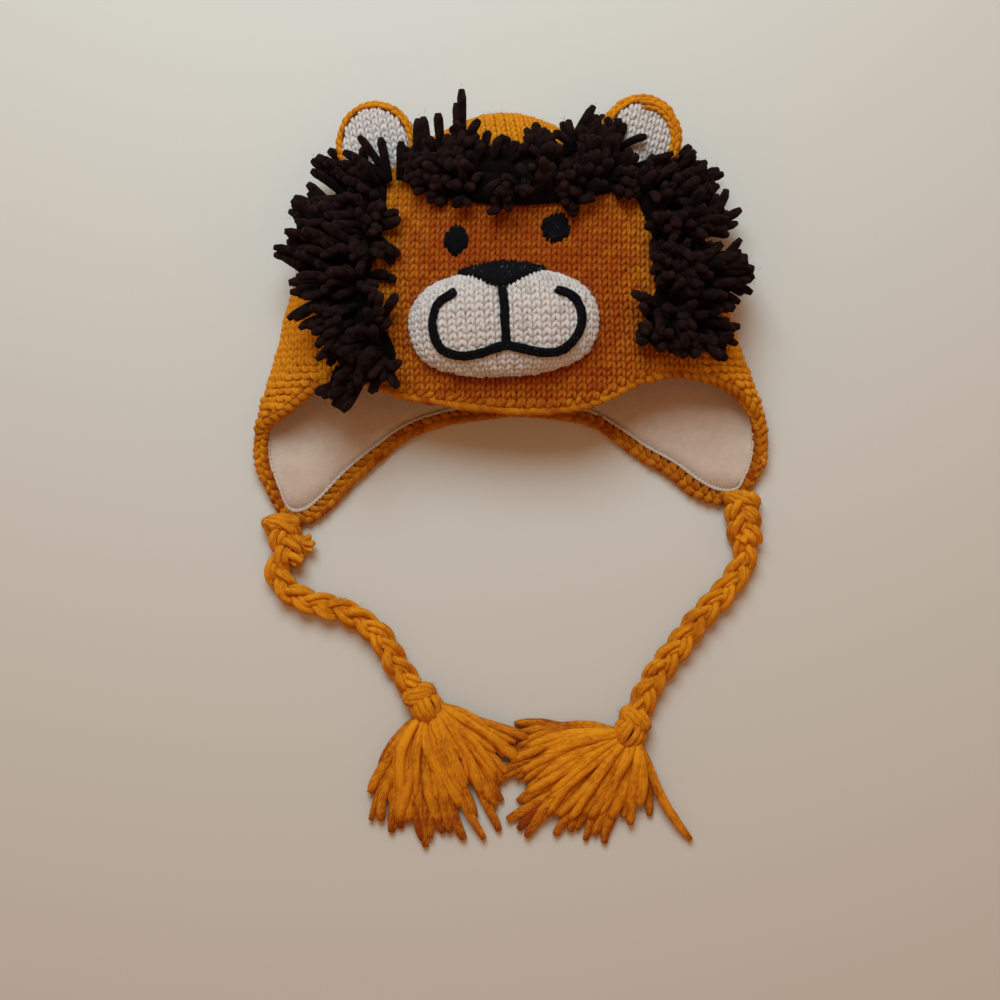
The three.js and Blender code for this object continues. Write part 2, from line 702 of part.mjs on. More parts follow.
// Half sections of the ear, from the middle of its back round to the middle of its face.
// out: share of half the ear's width, rim: share of the rim's width, up: share of the thickness,
// clearOut and clearUp: clearances added.
const EAR_BACK = [
  { out: 0.0, rim: 0.00, up: -0.50 },
  { out: 0.8, rim: 0.00, up: -0.42 },
  { out: 1.0, rim: 0.00, up: -0.15 },
  { out: 1.0, rim: 0.00, up: 0.20 },
  { out: 1.0, rim: -0.45, up: 0.42 },
  { out: 1.0, rim: -0.85, up: 0.32 },
  { out: 1.0, rim: -1.00, up: 0.00 },
  { out: 0.0, rim: 0.00, up: 0.00 },
];
const EAR_FRONT = [
  { out: 0.00, rim: 0.00, up: 0.00, clearUp: 1 },
  { out: 1.00, rim: -1.00, up: 0.00, clearOut: -1.5, clearUp: 1 },
  { out: 1.00, rim: -1.00, up: 0.16, clearOut: -1.5 },
  { out: 0.72, rim: -0.72, up: 0.34 },
  { out: 0.00, rim: 0.00, up: 0.42 },
];
// The room that a whole ear takes, a clearance wider
const EAR_ROOM = [
  { out: 0.0, rim: 0, up: -0.50, clearUp: -1 },
  { out: 0.8, rim: 0, up: -0.42, clearOut: 1, clearUp: -1 },
  { out: 1.0, rim: 0, up: -0.15, clearOut: 1, clearUp: -1 },
  { out: 1.0, rim: 0, up: 0.42, clearOut: 1, clearUp: 1 },
  { out: 0.0, rim: 0, up: 0.42, clearUp: 1 },
];

// Mane: each bunch is a backing along a line on the crown, with thick locks of yarn in rows along it.
// x and level as in the sections; fan: way that the locks of the row point, from straight along the
// line's left side (1) to its right (-1); stand: how steeply they rise; size: share of the lock length.
const MANES = {
  left: {
    line: [
      { x: -0.560, level: 0.210 },
      { x: -0.590, level: 0.400 },
      { x: -0.640, level: 0.560 },
      { x: -0.590, level: 0.720 },
      { x: -0.500, level: 0.860 },
    ],
    count: 5,
    rows: [
      { fan: -1.0, stand: 0.05, size: 1.00 },
      { fan: -0.2, stand: 1.00, size: 0.60 },
      { fan: 1.0, stand: 0.25, size: 0.55 },
    ],
  },
  top: {
    line: [
      { x: -0.360, level: 0.170 },
      { x: -0.180, level: 0.225 },
      { x: 0.020, level: 0.240 },
      { x: 0.220, level: 0.225 },
      { x: 0.420, level: 0.180 },
    ],
    count: 5,
    rows: [
      { fan: 1.0, stand: 0.25, size: 0.90 },
      { fan: 0.1, stand: 1.00, size: 0.60 },
      { fan: -1.0, stand: 0.20, size: 0.62 },
    ],
  },
  right: {
    line: [
      { x: 0.560, level: 0.190 },
      { x: 0.650, level: 0.360 },
      { x: 0.700, level: 0.520 },
      { x: 0.665, level: 0.660 },
      { x: 0.600, level: 0.800 },
    ],
    count: 5,
    rows: [
      { fan: 1.0, stand: 0.08, size: 0.85 },
      { fan: 0.2, stand: 1.00, size: 0.60 },
      { fan: -1.0, stand: 0.25, size: 0.60 },
    ],
  },
};
const BAND_STEPS = 5;
const BAND_ENDS = 0.02;         // how far the bolster stops short of its line's ends, share of the line
const BAND_END_FULLNESS = 0.62; // the bolster's size at its ends, share of its size at the middle

function crownFrame(x, y) {
  const slopeX = (crownHeight(x + 1, y) - crownHeight(x - 1, y)) / 2;
  const slopeY = (crownHeight(x, y + 1) - crownHeight(x, y - 1)) / 2;
  return new THREE.Vector3(-slopeX, -slopeY, 1).normalize();
}

function maneCurve(line) {
  return new THREE.CatmullRomCurve3(line.map((row) => {
    const x = row.x * HAT_WIDTH / 2;
    const y = levelY(row.level);
    return new THREE.Vector3(x, y, crownHeight(x, y));
  }));
}

// The bolster's section. across: shares of half its width, up: shares of its height.
const BOLSTER_SECTION = [
  { across: -1.0, up: 0.0 },
  { across: -0.85, up: 0.62 },
  { across: -0.3, up: 1.0 },
  { across: 0.4, up: 1.0 },
  { across: 0.9, up: 0.58 },
  { across: 1.0, up: 0.0 },
];

function maneBacking(curve) {
  const rings = [];
  for (let step = 0; step <= BAND_STEPS; step += 1) {
    const share = mix(BAND_ENDS, 1 - BAND_ENDS, step / BAND_STEPS);
    const centre = curve.getPointAt(share);
    const along = curve.getTangentAt(share);
    const aside = new THREE.Vector3(-along.y, along.x, 0).normalize();
    const fullness = mix(BAND_END_FULLNESS, 1, Math.sin(Math.PI * share));
    rings.push(BOLSTER_SECTION.map(({ across, up }) => {
      const p = centre.clone().addScaledVector(aside, across * fullness * MANE_BAND / 2);
      const ground = crownHeight(p.x, p.y) + CLEARANCE;
      return p.setZ(ground + up * fullness * MANE_BACKING);
    }));
  }
  const mid = (ring) => ring.reduce((sum, p) => sum.add(p), new THREE.Vector3()).divideScalar(ring.length);
  return toSolid(tippedBody(mid(rings[0]), rings, mid(rings[rings.length - 1])));
}

// A lock: a tapered, drooping bundle with four sides
const LOCK_STATIONS = [
  { share: 0.0, width: 0.85, droop: 0.0 },
  { share: 0.7, width: 1.00, droop: 0.04 },
];
const LOCK_TIP = { share: 1.0, droop: 0.12 };
// aside: shares of half the lock's width, over: the same, upwards
const LOCK_SECTION = [
  { aside: -1, over: 0 },
  { aside: 0, over: 0.8 },
  { aside: 1, over: 0 },
  { aside: 0, over: -0.8 },
];
const LOCK_ROW_OUT = 0.25;      // how far the rows sit from the line, share of the bolster's width
const LOCK_ROW_UP = 0.45;       // how high the locks start, share of the bolster's height
const LOCK_SWAY = { each: 2.4, row: 1.7, turn: 0.35, length: 0.12 };

function lockSolid(root, way, up, length, width, droopWay) {
  const aside = way.clone().cross(up).normalize();
  const over = aside.clone().cross(way).normalize();
  const at = ({ share, droop }) => root.clone()
    .addScaledVector(way, share * length)
    .addScaledVector(droopWay, droop * length);
  const rings = LOCK_STATIONS.map((station) => {
    const centre = at(station);
    const half = width / 2 * station.width;
    return LOCK_SECTION.map((corner) => centre.clone()
      .addScaledVector(aside, corner.aside * half)
      .addScaledVector(over, corner.over * half));
  });
  return toSolid(tippedBody(root.clone(), rings, at(LOCK_TIP)));
}

function maneSolid({ line, count, rows }, rooms) {
  const curve = maneCurve(line);
  const parts = [maneBacking(curve)];
  const down = new THREE.Vector3(0, 0, -1);
  rows.forEach((row, rowIndex) => {
    for (let k = 0; k < count; k += 1) {
      // every other row is set over by a quarter of a lock
      const share = (k + 0.5 + 0.25 * (rowIndex % 2)) / (count + 0.3);
      const centre = curve.getPointAt(share);
      const along = curve.getTangentAt(share);
      const up = crownFrame(centre.x, centre.y);
      const aside = up.clone().cross(along).normalize();
      // neighbouring locks differ in a set rhythm, as bunched yarn does
      const sway = Math.sin(LOCK_SWAY.each * k + LOCK_SWAY.row * rowIndex);
      const root = centre.clone()
        .addScaledVector(aside, row.fan * MANE_BAND * LOCK_ROW_OUT)
        .addScaledVector(up, MANE_BACKING * LOCK_ROW_UP);
      const level = new THREE.Vector3(aside.x, aside.y, 0).normalize();
      const way = level.multiplyScalar(row.fan)
        .addScaledVector(up, row.stand)
        .addScaledVector(along, LOCK_SWAY.turn * sway)
        .normalize();
      const length = LOCK_LENGTH * row.size * (1 + LOCK_SWAY.length * sway);
      parts.push(lockSolid(root, way, up, length, LOCK_WIDTH, down));
    }
  });
  let body = joined(parts);
  for (const room of rooms) body = body.subtract(room);
  return mainBody(body);
}

// Ties: chosen route points in millimetres, from the root at the flap's tip to the knot. Each tie
// lies on the table, so the height of its middle is half its width.
const TIE_ROUTES = {
  left: [
    { x: -108.5, y: -119.0 },
    { x: -107.5, y: -127.5 },
    { x: -102.0, y: -135.0 },
    { x: -92.0, y: -139.5 },
    { x: -78.5, y: -143.0 },
    { x: -67.5, y: -149.0 },
    { x: -60.0, y: -156.5 },
    { x: -53.5, y: -167.0 },
    { x: -45.5, y: -179.0 },
  ],
  right: [
    { x: 110.2, y: -107.5 },
    { x: 109.0, y: -120.5 },
    { x: 104.5, y: -128.5 },
    { x: 98.5, y: -136.0 },
    { x: 91.0, y: -144.0 },
    { x: 82.0, y: -155.5 },
    { x: 72.0, y: -168.0 },
    { x: 64.5, y: -180.0 },
    { x: 59.0, y: -192.5 },
  ],
};
const ROOTS = {
  left: { x: -104.5, y: -110.0, turn: 1.85 },
  right: { x: 108.5, y: -99.5, turn: 1.65 },
};
const KNOTS = {
  left: { x: -41.5, y: -184.0, turn: -0.9 },
  right: { x: 56.5, y: -197.5, turn: -2.0 },
};
const TIE_STEPS = 10;
const TIE_SIDES = 8;

function tieSolid(route) {
  const points = route.map((p) => new THREE.Vector3(p.x, p.y, TIE_WIDTH / 2));
  const radius = TIE_WIDTH / 2 / Math.cos(Math.PI / TIE_SIDES);
  return toSolid(tube(points, radius, TIE_SIDES, TIE_STEPS));
}

function lump(place, long, wide, turn, thick) {
  const ball = new THREE.SphereGeometry(0.5, 12, 6);
  ball.scale(long, wide, thick);
  ball.rotateZ(turn);
  ball.translate(place.x, place.y, thick / 2);
  return toSolid(ball);
}

function rootSolid(root, edgingRoom) {
  const body = lump(root, ROOT_LENGTH, ROOT_WIDTH, root.turn, TIE_WIDTH);
  return mainBody(body.subtract(edgingRoom));
}

// The knot's two lobes, in shares of its width
const KNOT_LOBES = [
  { along: 0.16, long: 1.00, wide: 0.86, thick: 0.86 },
  { along: -0.22, long: 0.62, wide: 1.00, thick: 0.80 },
];

function knotSolid(knot) {
  const along = new THREE.Vector3(Math.cos(knot.turn), Math.sin(knot.turn), 0);
  return joined(KNOT_LOBES.map((lobe) => {
    const middle = new THREE.Vector3(knot.x, knot.y, 0).addScaledVector(along, lobe.along * KNOT_WIDTH);
    return lump(middle, lobe.long * KNOT_WIDTH, lobe.wide * KNOT_WIDTH, knot.turn, lobe.thick * KNOT_WIDTH);
  }));
}

// Tassels: locks fan out from the knot along the table. heading in degrees, reach and high in shares
// of the tassel's length and thickness.
const TASSELS = {
  left: [
    { heading: -39, reach: 0.80, high: 0.80 },
    { heading: -54, reach: 0.95, high: 1.00 },
    { heading: -70, reach: 1.02, high: 0.80 },
    { heading: -86, reach: 1.05, high: 1.00 },
    { heading: -102, reach: 1.00, high: 0.80 },
    { heading: -118, reach: 0.88, high: 1.00 },
    { heading: -135, reach: 0.64, high: 0.70 },
  ],
  right: [
    { heading: -172, reach: 0.90, high: 0.80 },
    { heading: -158, reach: 0.98, high: 1.00 },
    { heading: -144, reach: 1.14, high: 0.80 },
    { heading: -130, reach: 1.14, high: 1.00 },
    { heading: -114, reach: 0.90, high: 0.80 },
    { heading: -98, reach: 0.76, high: 1.00 },
    { heading: -79, reach: 0.94, high: 0.55 },
  ],
};
const TASSEL_STATIONS = [
  { share: 0.02, wide: 0.20, high: 0.75 },
  { share: 0.35, wide: 0.30, high: 1.00 },
  { share: 0.82, wide: 0.21, high: 0.60 },
];

// aside: shares of half the lock's width, up: shares of its height
const TASSEL_SECTION = [
  { aside: -1.00, up: 0.45 },
  { aside: 0.00, up: 1.00 },
  { aside: 1.00, up: 0.45 },
  { aside: 0.85, up: 0.00 },
  { aside: -0.85, up: 0.00 },
];
const TASSEL_START = 0.3;       // height of a lock's first point, share of the tassel's thickness
const TASSEL_END = 0.08;        // and of its last point
const TASSEL_HEAD = 0.5;        // where the locks leave the knot, share of the knot's width

function tasselLock(head, { heading, reach, high }) {
  const angle = THREE.MathUtils.degToRad(heading);
  const along = new THREE.Vector3(Math.cos(angle), Math.sin(angle), 0);
  const aside = new THREE.Vector3(-along.y, along.x, 0);
  const length = TASSEL_LENGTH * reach;
  const rings = TASSEL_STATIONS.map((station) => {
    const centre = head.clone().addScaledVector(along, station.share * length);
    const half = station.wide * TASSEL_LENGTH / 2;
    const top = station.high * high * TASSEL_THICK;
    return TASSEL_SECTION.map((corner) => (
      centre.clone().addScaledVector(aside, corner.aside * half).setZ(corner.up * top)
    ));
  });
  const tip = head.clone().addScaledVector(along, length).setZ(TASSEL_THICK * TASSEL_END);
  return toSolid(tippedBody(head.clone().setZ(TASSEL_THICK * TASSEL_START), rings, tip));
}

function tasselSolid(knot, locks, rooms) {
  const along = new THREE.Vector3(Math.cos(knot.turn), Math.sin(knot.turn), 0);
  const head = new THREE.Vector3(knot.x, knot.y, 0).addScaledVector(along, KNOT_WIDTH * TASSEL_HEAD);
  let body = joined(locks.map((lock) => tasselLock(head, lock)));
  for (const room of rooms) body = body.subtract(room);
  return mainBody(body);
}

// The room that a piece takes: the piece grown by a clearance on each side of its box
function roomOf(solid) {
  const { min, max } = solid.boundingBox();
  const middle = min.map((low, k) => (low + max[k]) / 2);
  const growth = min.map((low, k) => 1 + 2 * CLEARANCE / (max[k] - low));
  return solid.translate(middle.map((v) => -v)).scale(growth).translate(middle);
}

const hat = new THREE.Group();

function addPiece(name, body, colour) {
  const geometry = body.isBufferGeometry ? body : toGeometry(body);
  const mesh = new THREE.Mesh(geometry, new THREE.MeshStandardMaterial(COLOURS[colour]));
  mesh.name = name;
  hat.add(mesh);
  return mesh;
}

// Crown, lining and edging
const HEM_INSET = EDGING_WIDTH + HEM_GAP;
const crownSpace = crownRoom(HEM_INSET);
const edgingSpace = edgingSolid(CLEARANCE);
const crown = toSolid(bag(0, KNIT_WALL, HEM_INSET));
const lining = toSolid(bag(KNIT_WALL + LINING_GAP, LINING_WALL, HEM_INSET));
addPiece('crown', crown, 'gold');
// the lining lies on the crown's back layer, where the side folds bring the walls closest
addPiece('lining', mainBody(lining.subtract(crown.add(crown.translate([0, 0, CLEARANCE])))), 'fleece');
addPiece('edging', edgingSolid(0), 'edge');

// Face
const muzzle = muzzleSolid(0);
const muzzleSpace = muzzleSolid(CLEARANCE);
const nose = mainBody(noseSolid(0).subtract(muzzleSpace).subtract(crownSpace));
addPiece('muzzle', mainBody(muzzle.subtract(crownSpace)), 'cream');
addPiece('nose', nose, 'black');
addPiece('mouth', mouthSolid(muzzleSpace, noseSolid(CLEARANCE)), 'black');
for (const side of ['left', 'right']) {
  addPiece(`eye_${side}`, mainBody(eyeSolid(EYES[side]).subtract(crownSpace)), 'black');
}

// Ears
const earSpaces = [];
for (const side of ['left', 'right']) {
  const back = mainBody(earPart(EAR_BACK, EARS[side]).subtract(crownSpace));
  const front = mainBody(earPart(EAR_FRONT, EARS[side]).subtract(crownSpace));
  addPiece(`ear_${side}_back`, back, 'gold');
  addPiece(`ear_${side}_front`, front, 'cream');
  earSpaces.push(earPart(EAR_ROOM, EARS[side]));
}

// Mane: the top bunch is cut clear of the side bunches
const maneRooms = [crownSpace, muzzleSpace, edgingSpace, ...earSpaces];
const sideManes = {};
for (const side of ['left', 'right']) {
  sideManes[side] = maneSolid(MANES[side], maneRooms);
  addPiece(`mane_${side}`, sideManes[side], 'brown');
}
const topRooms = [...maneRooms, roomOf(sideManes.left), roomOf(sideManes.right)];
addPiece('mane_top', maneSolid(MANES.top, topRooms), 'brown');

// Ties, knots and tassels
const tasselSpaces = [];
for (const side of ['left', 'right']) {
  const root = rootSolid(ROOTS[side], edgingSpace);
  const knot = knotSolid(KNOTS[side]);
  const ends = [roomOf(root), roomOf(knot)];
  const tie = ends.reduce((body, room) => body.subtract(room), tieSolid(TIE_ROUTES[side]));
  const tassel = tasselSolid(KNOTS[side], TASSELS[side], [ends[1], ...tasselSpaces]);
  tasselSpaces.push(roomOf(tassel));
  addPiece(`root_${side}`, root, 'gold');
  addPiece(`tie_${side}`, mainBody(tie), 'gold');
  addPiece(`knot_${side}`, knot, 'gold');
  addPiece(`tassel_${side}`, tassel, 'gold');
}

export default hat;
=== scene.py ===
import math

import bpy
import numpy as np
from bpy.props import FloatProperty, FloatVectorProperty, IntProperty, PointerProperty
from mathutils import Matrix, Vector


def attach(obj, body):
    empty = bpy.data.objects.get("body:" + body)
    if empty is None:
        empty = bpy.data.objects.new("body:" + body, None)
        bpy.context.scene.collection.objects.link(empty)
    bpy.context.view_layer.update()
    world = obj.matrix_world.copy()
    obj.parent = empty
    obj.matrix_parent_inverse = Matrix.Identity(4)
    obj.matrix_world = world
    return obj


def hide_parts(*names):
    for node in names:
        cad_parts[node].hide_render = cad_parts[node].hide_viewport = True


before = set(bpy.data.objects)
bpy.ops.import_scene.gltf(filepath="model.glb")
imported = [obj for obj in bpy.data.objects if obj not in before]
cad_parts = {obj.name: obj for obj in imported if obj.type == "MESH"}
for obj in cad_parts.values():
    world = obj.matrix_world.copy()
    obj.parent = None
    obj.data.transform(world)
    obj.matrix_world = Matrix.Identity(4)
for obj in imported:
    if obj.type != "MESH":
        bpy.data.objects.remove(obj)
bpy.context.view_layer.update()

# A knitted baby hat with ears, flaps and braided ties, lying on its back with the face up.
# Metres, +Z up, +Y towards the top of the hat, the origin on the table under the crown.

bl_info = {
    "name": "Knitted Baby Hat with Ears",
    "version": (1, 0, 0),
    "blender": (4, 5, 0),
    "location": "3D View > Sidebar > Knitted Hat",
    "description": "Knits, braids and lights a baby hat with ears around its fixed frame",
    "category": "Object",
}

MM = 0.001

# The hat's form: these sizes match the frame's solids
HAT_WIDTH = 238 * MM
CROWN_LENGTH = 139 * MM
CROWN_HEIGHT = 45 * MM
FLAP_DROP = 50 * MM
ORIGIN_SHARE = 0.612
KNIT_WALL = 3 * MM
LINING_WALL = 1.5 * MM
LINING_GAP = 0.45 * MM
EDGING_WIDTH = 6 * MM
HEM_INSET = 6.55 * MM
CLEARANCE = 0.3 * MM
TABLE_GAP = 0.1 * MM            # least distance of yarn and walls from the table
TOP_Y = CROWN_LENGTH * ORIGIN_SHARE
FRONT_Y = TOP_Y - CROWN_LENGTH
QUARTER_GIRTH = HAT_WIDTH / 2 * 1.05

# Cross-sections: level (0 top, 1 front edge, 2 flap tip), half and aside in shares of half the hat's
# width, then high, foot and corner in shares of its height
SECTIONS = np.array([
    (0.000, 0.000, -0.025, 0.31, 0.310, 0.000),
    (0.018, 0.124, -0.025, 0.54, 0.120, 0.190),
    (0.050, 0.222, -0.020, 0.65, 0.035, 0.220),
    (0.100, 0.350, -0.012, 0.75, 0.000, 0.230),
    (0.150, 0.492, 0.000, 0.82, 0.000, 0.230),
    (0.200, 0.590, -0.004, 0.88, 0.000, 0.220),
    (0.273, 0.664, -0.008, 0.93, 0.000, 0.220),
    (0.396, 0.731, -0.014, 0.98, 0.000, 0.210),
    (0.547, 0.808, -0.018, 1.00, 0.000, 0.210),
    (0.669, 0.862, -0.010, 0.99, 0.000, 0.200),
    (0.770, 0.894, -0.004, 0.96, 0.000, 0.200),
    (0.906, 0.950, 0.002, 0.89, 0.000, 0.195),
    (1.100, 0.991, 0.004, 0.83, 0.000, 0.195),
    (1.300, 1.000, 0.002, 0.86, 0.000, 0.200),
    (1.480, 0.989, 0.002, 0.88, 0.000, 0.190),
    (1.660, 0.962, 0.000, 0.88, 0.000, 0.180),
    (1.840, 0.936, 0.000, 0.88, 0.000, 0.170),
    (2.100, 0.905, 0.000, 0.88, 0.000, 0.160),
])
# The lower edge from the middle of the front (around 0) over the side fold (1) to the back (2):
# around, level
EDGE_LEFT = [
    (0.00, 1.000), (0.25, 0.974), (0.40, 0.950), (0.52, 0.908), (0.62, 0.897), (0.71, 0.905),
    (0.79, 0.955), (0.86, 1.000), (0.93, 1.070), (0.99, 1.200), (1.01, 1.450), (1.02, 1.700),
    (1.05, 1.880), (1.11, 1.990), (1.19, 1.970), (1.28, 1.840), (1.40, 1.600), (1.52, 1.370),
    (1.62, 1.180), (1.74, 1.070), (1.87, 1.010), (2.00, 0.990),
]
EDGE_RIGHT = [
    (0.00, 1.000), (0.18, 0.996), (0.32, 0.970), (0.44, 0.918), (0.54, 0.888), (0.63, 0.878),
    (0.72, 0.885), (0.81, 0.906), (0.90, 0.947), (0.97, 1.060), (1.00, 1.260), (1.02, 1.480),
    (1.05, 1.680), (1.11, 1.800), (1.20, 1.790), (1.30, 1.690), (1.41, 1.520), (1.52, 1.370),
    (1.62, 1.190), (1.70, 1.070), (1.84, 1.000), (2.00, 0.990),
]
# Dents and swells of the upper side: x (share of half the width), level, reach (share of the crown's
# length), rise (share of its height)
DENTS = [
    (-0.55, 0.80, 0.16, -0.055), (0.57, 0.76, 0.15, -0.060), (-0.30, 0.93, 0.10, 0.035),
    (0.28, 0.92, 0.10, 0.030), (0.02, 0.36, 0.14, -0.040), (-0.72, 0.95, 0.10, 0.045),
    (0.80, 0.88, 0.10, 0.040),
]

# The padded muzzle and what is worked on it
MUZZLE_HALF = (41.5 * MM, 23 * MM)
MUZZLE_PAD = 13 * MM
MUZZLE_PLACE = (-3 * MM, -14 * MM)
MUZZLE_TURN = 0.05
MUZZLE_POWER = 2.5
MUZZLE_EDGE = 0.12
MUZZLE_FULLNESS = 3.2
LOBE_GROOVE = 0.16
LOBE_GROOVE_REACH = 0.14
# Mouth line and stem, in shares of half the muzzle: along, up
MOUTH_LINE = [
    (-0.50, 0.58), (-0.66, 0.42), (-0.74, 0.12), (-0.73, -0.26), (-0.64, -0.50), (-0.46, -0.62),
    (-0.28, -0.60), (-0.12, -0.52), (0.01, -0.47), (0.16, -0.53), (0.34, -0.62), (0.54, -0.63),
    (0.70, -0.46), (0.80, -0.18), (0.81, 0.14), (0.72, 0.42), (0.57, 0.54),
]
MOUTH_STEM = [(0.00, 0.62), (0.01, 0.30), (0.01, -0.10), (0.01, -0.47)]
# Nose outline, in shares of its half width and half length: along, up
NOSE_OUTLINE = [
    (0.00, -1.00), (0.24, -0.84), (0.52, -0.42), (0.88, -0.02), (1.00, 0.20), (0.86, 0.40),
    (0.44, 0.74), (0.00, 0.86), (-0.44, 0.74), (-0.86, 0.40), (-1.00, 0.20), (-0.88, -0.02),
    (-0.52, -0.42), (-0.24, -0.84),
]
NOSE_HALF = (19 * MM, 7.25 * MM)
NOSE_UP = 0.94
NOSE_THICK = 2.6 * MM
NOSE_YARNS = (1.75 * MM, 2.0 * MM)  # distance of the strands in the upper and the lower layer
# Eyes: name, x and y from the muzzle's middle in shares of its width, turn, widening, squareness
EYES = [("left", -0.253, 0.442, 1.45, 0.96, 1.6), ("right", 0.276, 0.511, 1.25, 1.16, 1.7)]
EYE_HALF = (7.4 * MM, 5.2 * MM)  # half an eye's length and width
EYE_THICK = 1.8 * MM
EYE_YARNS = (1.9 * MM, 2.2 * MM)

# Ears: name, x (share of half the hat's width), y (of the crown's length), high (of its height),
# spin, nod, lean, widening, lengthening
EARS = [
    ("left", -0.510, 0.495, 0.60, 0.16, 0.10, -0.12, 1.00, 1.06),
    ("right", 0.492, 0.505, 0.62, -0.22, 0.16, 0.22, 1.06, 1.14),
]
EAR_HALF = 17.5 * MM
EAR_RIM = 3.6 * MM
EAR_FACE_INSET = 2.4 * MM
EAR_THICK = 9 * MM

# Mane lines: x (share of half the hat's width), level
MANE_LINES = {
    "left": [(-0.560, 0.210), (-0.590, 0.400), (-0.640, 0.560), (-0.590, 0.720), (-0.500, 0.860)],
    "top": [(-0.360, 0.170), (-0.180, 0.225), (0.020, 0.240), (0.220, 0.225), (0.420, 0.180)],
    "right": [(0.560, 0.190), (0.650, 0.360), (0.700, 0.520), (0.665, 0.660), (0.600, 0.800)],
}
MANE_BAND = 30 * MM

# The ties' route points, from the root at the flap's tip to the knot: x, y
TIE_ROUTES = {
    "left": [
        (-0.1085, -0.1190), (-0.1075, -0.1275), (-0.1020, -0.1350), (-0.0920, -0.1395),
        (-0.0785, -0.1430), (-0.0675, -0.1490), (-0.0600, -0.1565), (-0.0535, -0.1670),
        (-0.0455, -0.1790),
    ],
    "right": [
        (0.1102, -0.1075), (0.1090, -0.1205), (0.1045, -0.1285), (0.0985, -0.1360),
        (0.0910, -0.1440), (0.0820, -0.1555), (0.0720, -0.1680), (0.0645, -0.1800),
        (0.0590, -0.1925),
    ],
}
TIE_HIGH = 5.5 * MM             # height of the braid's middle above the table
ROOTS = {"left": (-0.1045, -0.1100, 1.85), "right": (0.1085, -0.0995, 1.65)}
KNOTS = {"left": (-0.0400, -0.1858, -1.0), "right": (0.0565, -0.1975, -2.0)}
KNOT_WIDTH = 17 * MM
# Tassels, from one side to the other: heading in degrees, reach in shares of the tassel's length, and
# how many degrees the ends turn on their way
TASSEL_FANS = {
    "left": [
        (-32, 0.84, -22), (-44, 0.93, -18), (-56, 1.00, -10), (-68, 1.04, 0), (-79, 1.04, 6),
        (-90, 1.02, 16), (-101, 0.96, 34), (-110, 0.88, 56),
    ],
    "right": [
        (-170, 0.84, 40), (-162, 0.93, 34), (-153, 1.02, 26), (-144, 1.10, 18), (-134, 1.12, 8),
        (-122, 0.92, 0), (-110, 0.80, -6), (-97, 0.70, -10), (-84, 0.60, -14),
    ],
}
# One end that sticks out of each: place in the fan, heading, reach
TASSEL_STRAYS = {"left": (0.6, -76, 1.12), "right": (1.0, -70, 0.90)}
TASSEL_LOW = {"left": -258 * MM, "right": -251 * MM}     # the ends reach no further down the table
TASSEL_LENGTH = 55 * MM
TASSEL_SLACK = 1.06
TASSEL_THICK = 15 * MM

# The photograph's view: straight down from this height, over this place, with this much of the table
# from side to side. The sensor's width is in millimetres
CAMERA_HEIGHT = 0.700
CAMERA_OVER = (-0.0047, -0.09165)
VIEW_WIDTH = 0.470
SENSOR = 36.0

# What each step adds to the seed of its random draws
SEED_STEPS = {
    "crown": 0, "edging": 1, "muzzle": 2, "nose": 3, "mouth": 4, "eyes": 5, "ears": 6, "mane": 10,
    "ties": 20, "knots": 30, "roots": 40, "tassels": 50, "fuzz": 60,
}


class HatYarnSettings(bpy.types.PropertyGroup):
    """Sizes of the yarn and the stitches, and the start of the random draws."""

    stitch_width: FloatProperty(
        name="Stitch width", description="Width of one knitted stitch", default=4.5 * MM, unit="LENGTH"
    )
    stitch_height: FloatProperty(
        name="Row height", description="Height of one knitted row", default=3.3 * MM, unit="LENGTH"
    )
    mane_yarn: FloatProperty(
        name="Mane yarn", description="Thickness of the mane's yarn", default=3.9 * MM, unit="LENGTH"
    )
    mane_length: FloatProperty(
        name="Mane length", description="Length of the mane's cut ends", default=22 * MM, unit="LENGTH"
    )
    tassel_yarn: FloatProperty(
        name="Tassel yarn", description="Thickness of the tassels' yarn", default=4.1 * MM, unit="LENGTH"
    )
    tassel_count: IntProperty(
        name="Tassel ends", description="Yarn ends in each tassel", default=84, min=8, max=120
    )
    seed: IntProperty(name="Seed", description="Start of every random draw", default=7)


class HatColourSettings(bpy.types.PropertyGroup):
    """Colours of the yarns and of the fleece."""

    gold: FloatVectorProperty(
        name="Gold", description="Golden wool", subtype="COLOR", default=(0.79, 0.308, 0.010)
    )
    # Amber, the deep gold, is mostly painted shade: over the face, in the ply grooves and on the ground
    # between the stitches. It also takes the random mottle.
    amber: FloatVectorProperty(
        name="Amber", description="Deeper golden wool of the face", subtype="COLOR",
        default=(0.315, 0.047, 0.0045),
    )
    cream: FloatVectorProperty(
        name="Cream", description="Off-white wool", subtype="COLOR", default=(0.75, 0.715, 0.70)
    )
    fleece: FloatVectorProperty(
        name="Fleece", description="Lining fleece", subtype="COLOR", default=(0.76, 0.64, 0.535)
    )
    brown: FloatVectorProperty(
        name="Mane brown", description="Dark brown wool", subtype="COLOR", default=(0.0135, 0.0054, 0.0050)
    )
    black: FloatVectorProperty(
        name="Face black", description="Near-black wool", subtype="COLOR", default=(0.0045, 0.0045, 0.0065)
    )


# What one step of the making hands on to those after it
MATERIALS = {}
TIE_PARTS = {"left": [], "right": []}
FUZZ = {"gold": [], "brown": [], "cream": [], "knit": []}


# Helpers

def draws(yarn, step, name=""):
    """The random draws of one step, or of one side or bunch in it."""
    return np.random.default_rng(yarn.seed + SEED_STEPS[step] + len(name))


def unit(vectors):
    return vectors / np.maximum(np.linalg.norm(vectors, axis=-1, keepdims=True), 1e-12)


def left_of(ways):
    """The flat ways that lie a quarter turn to the left of these."""
    return np.stack([-ways[..., 1], ways[..., 0]], -1)


def turned(x, y, angle):
    """x and y after a turn about the origin."""
    c, s = math.cos(angle), math.sin(angle)
    return x * c - y * s, x * s + y * c


def full_turn(count):
    """Even angles of a full turn."""
    return 2 * np.pi * np.arange(count) / count


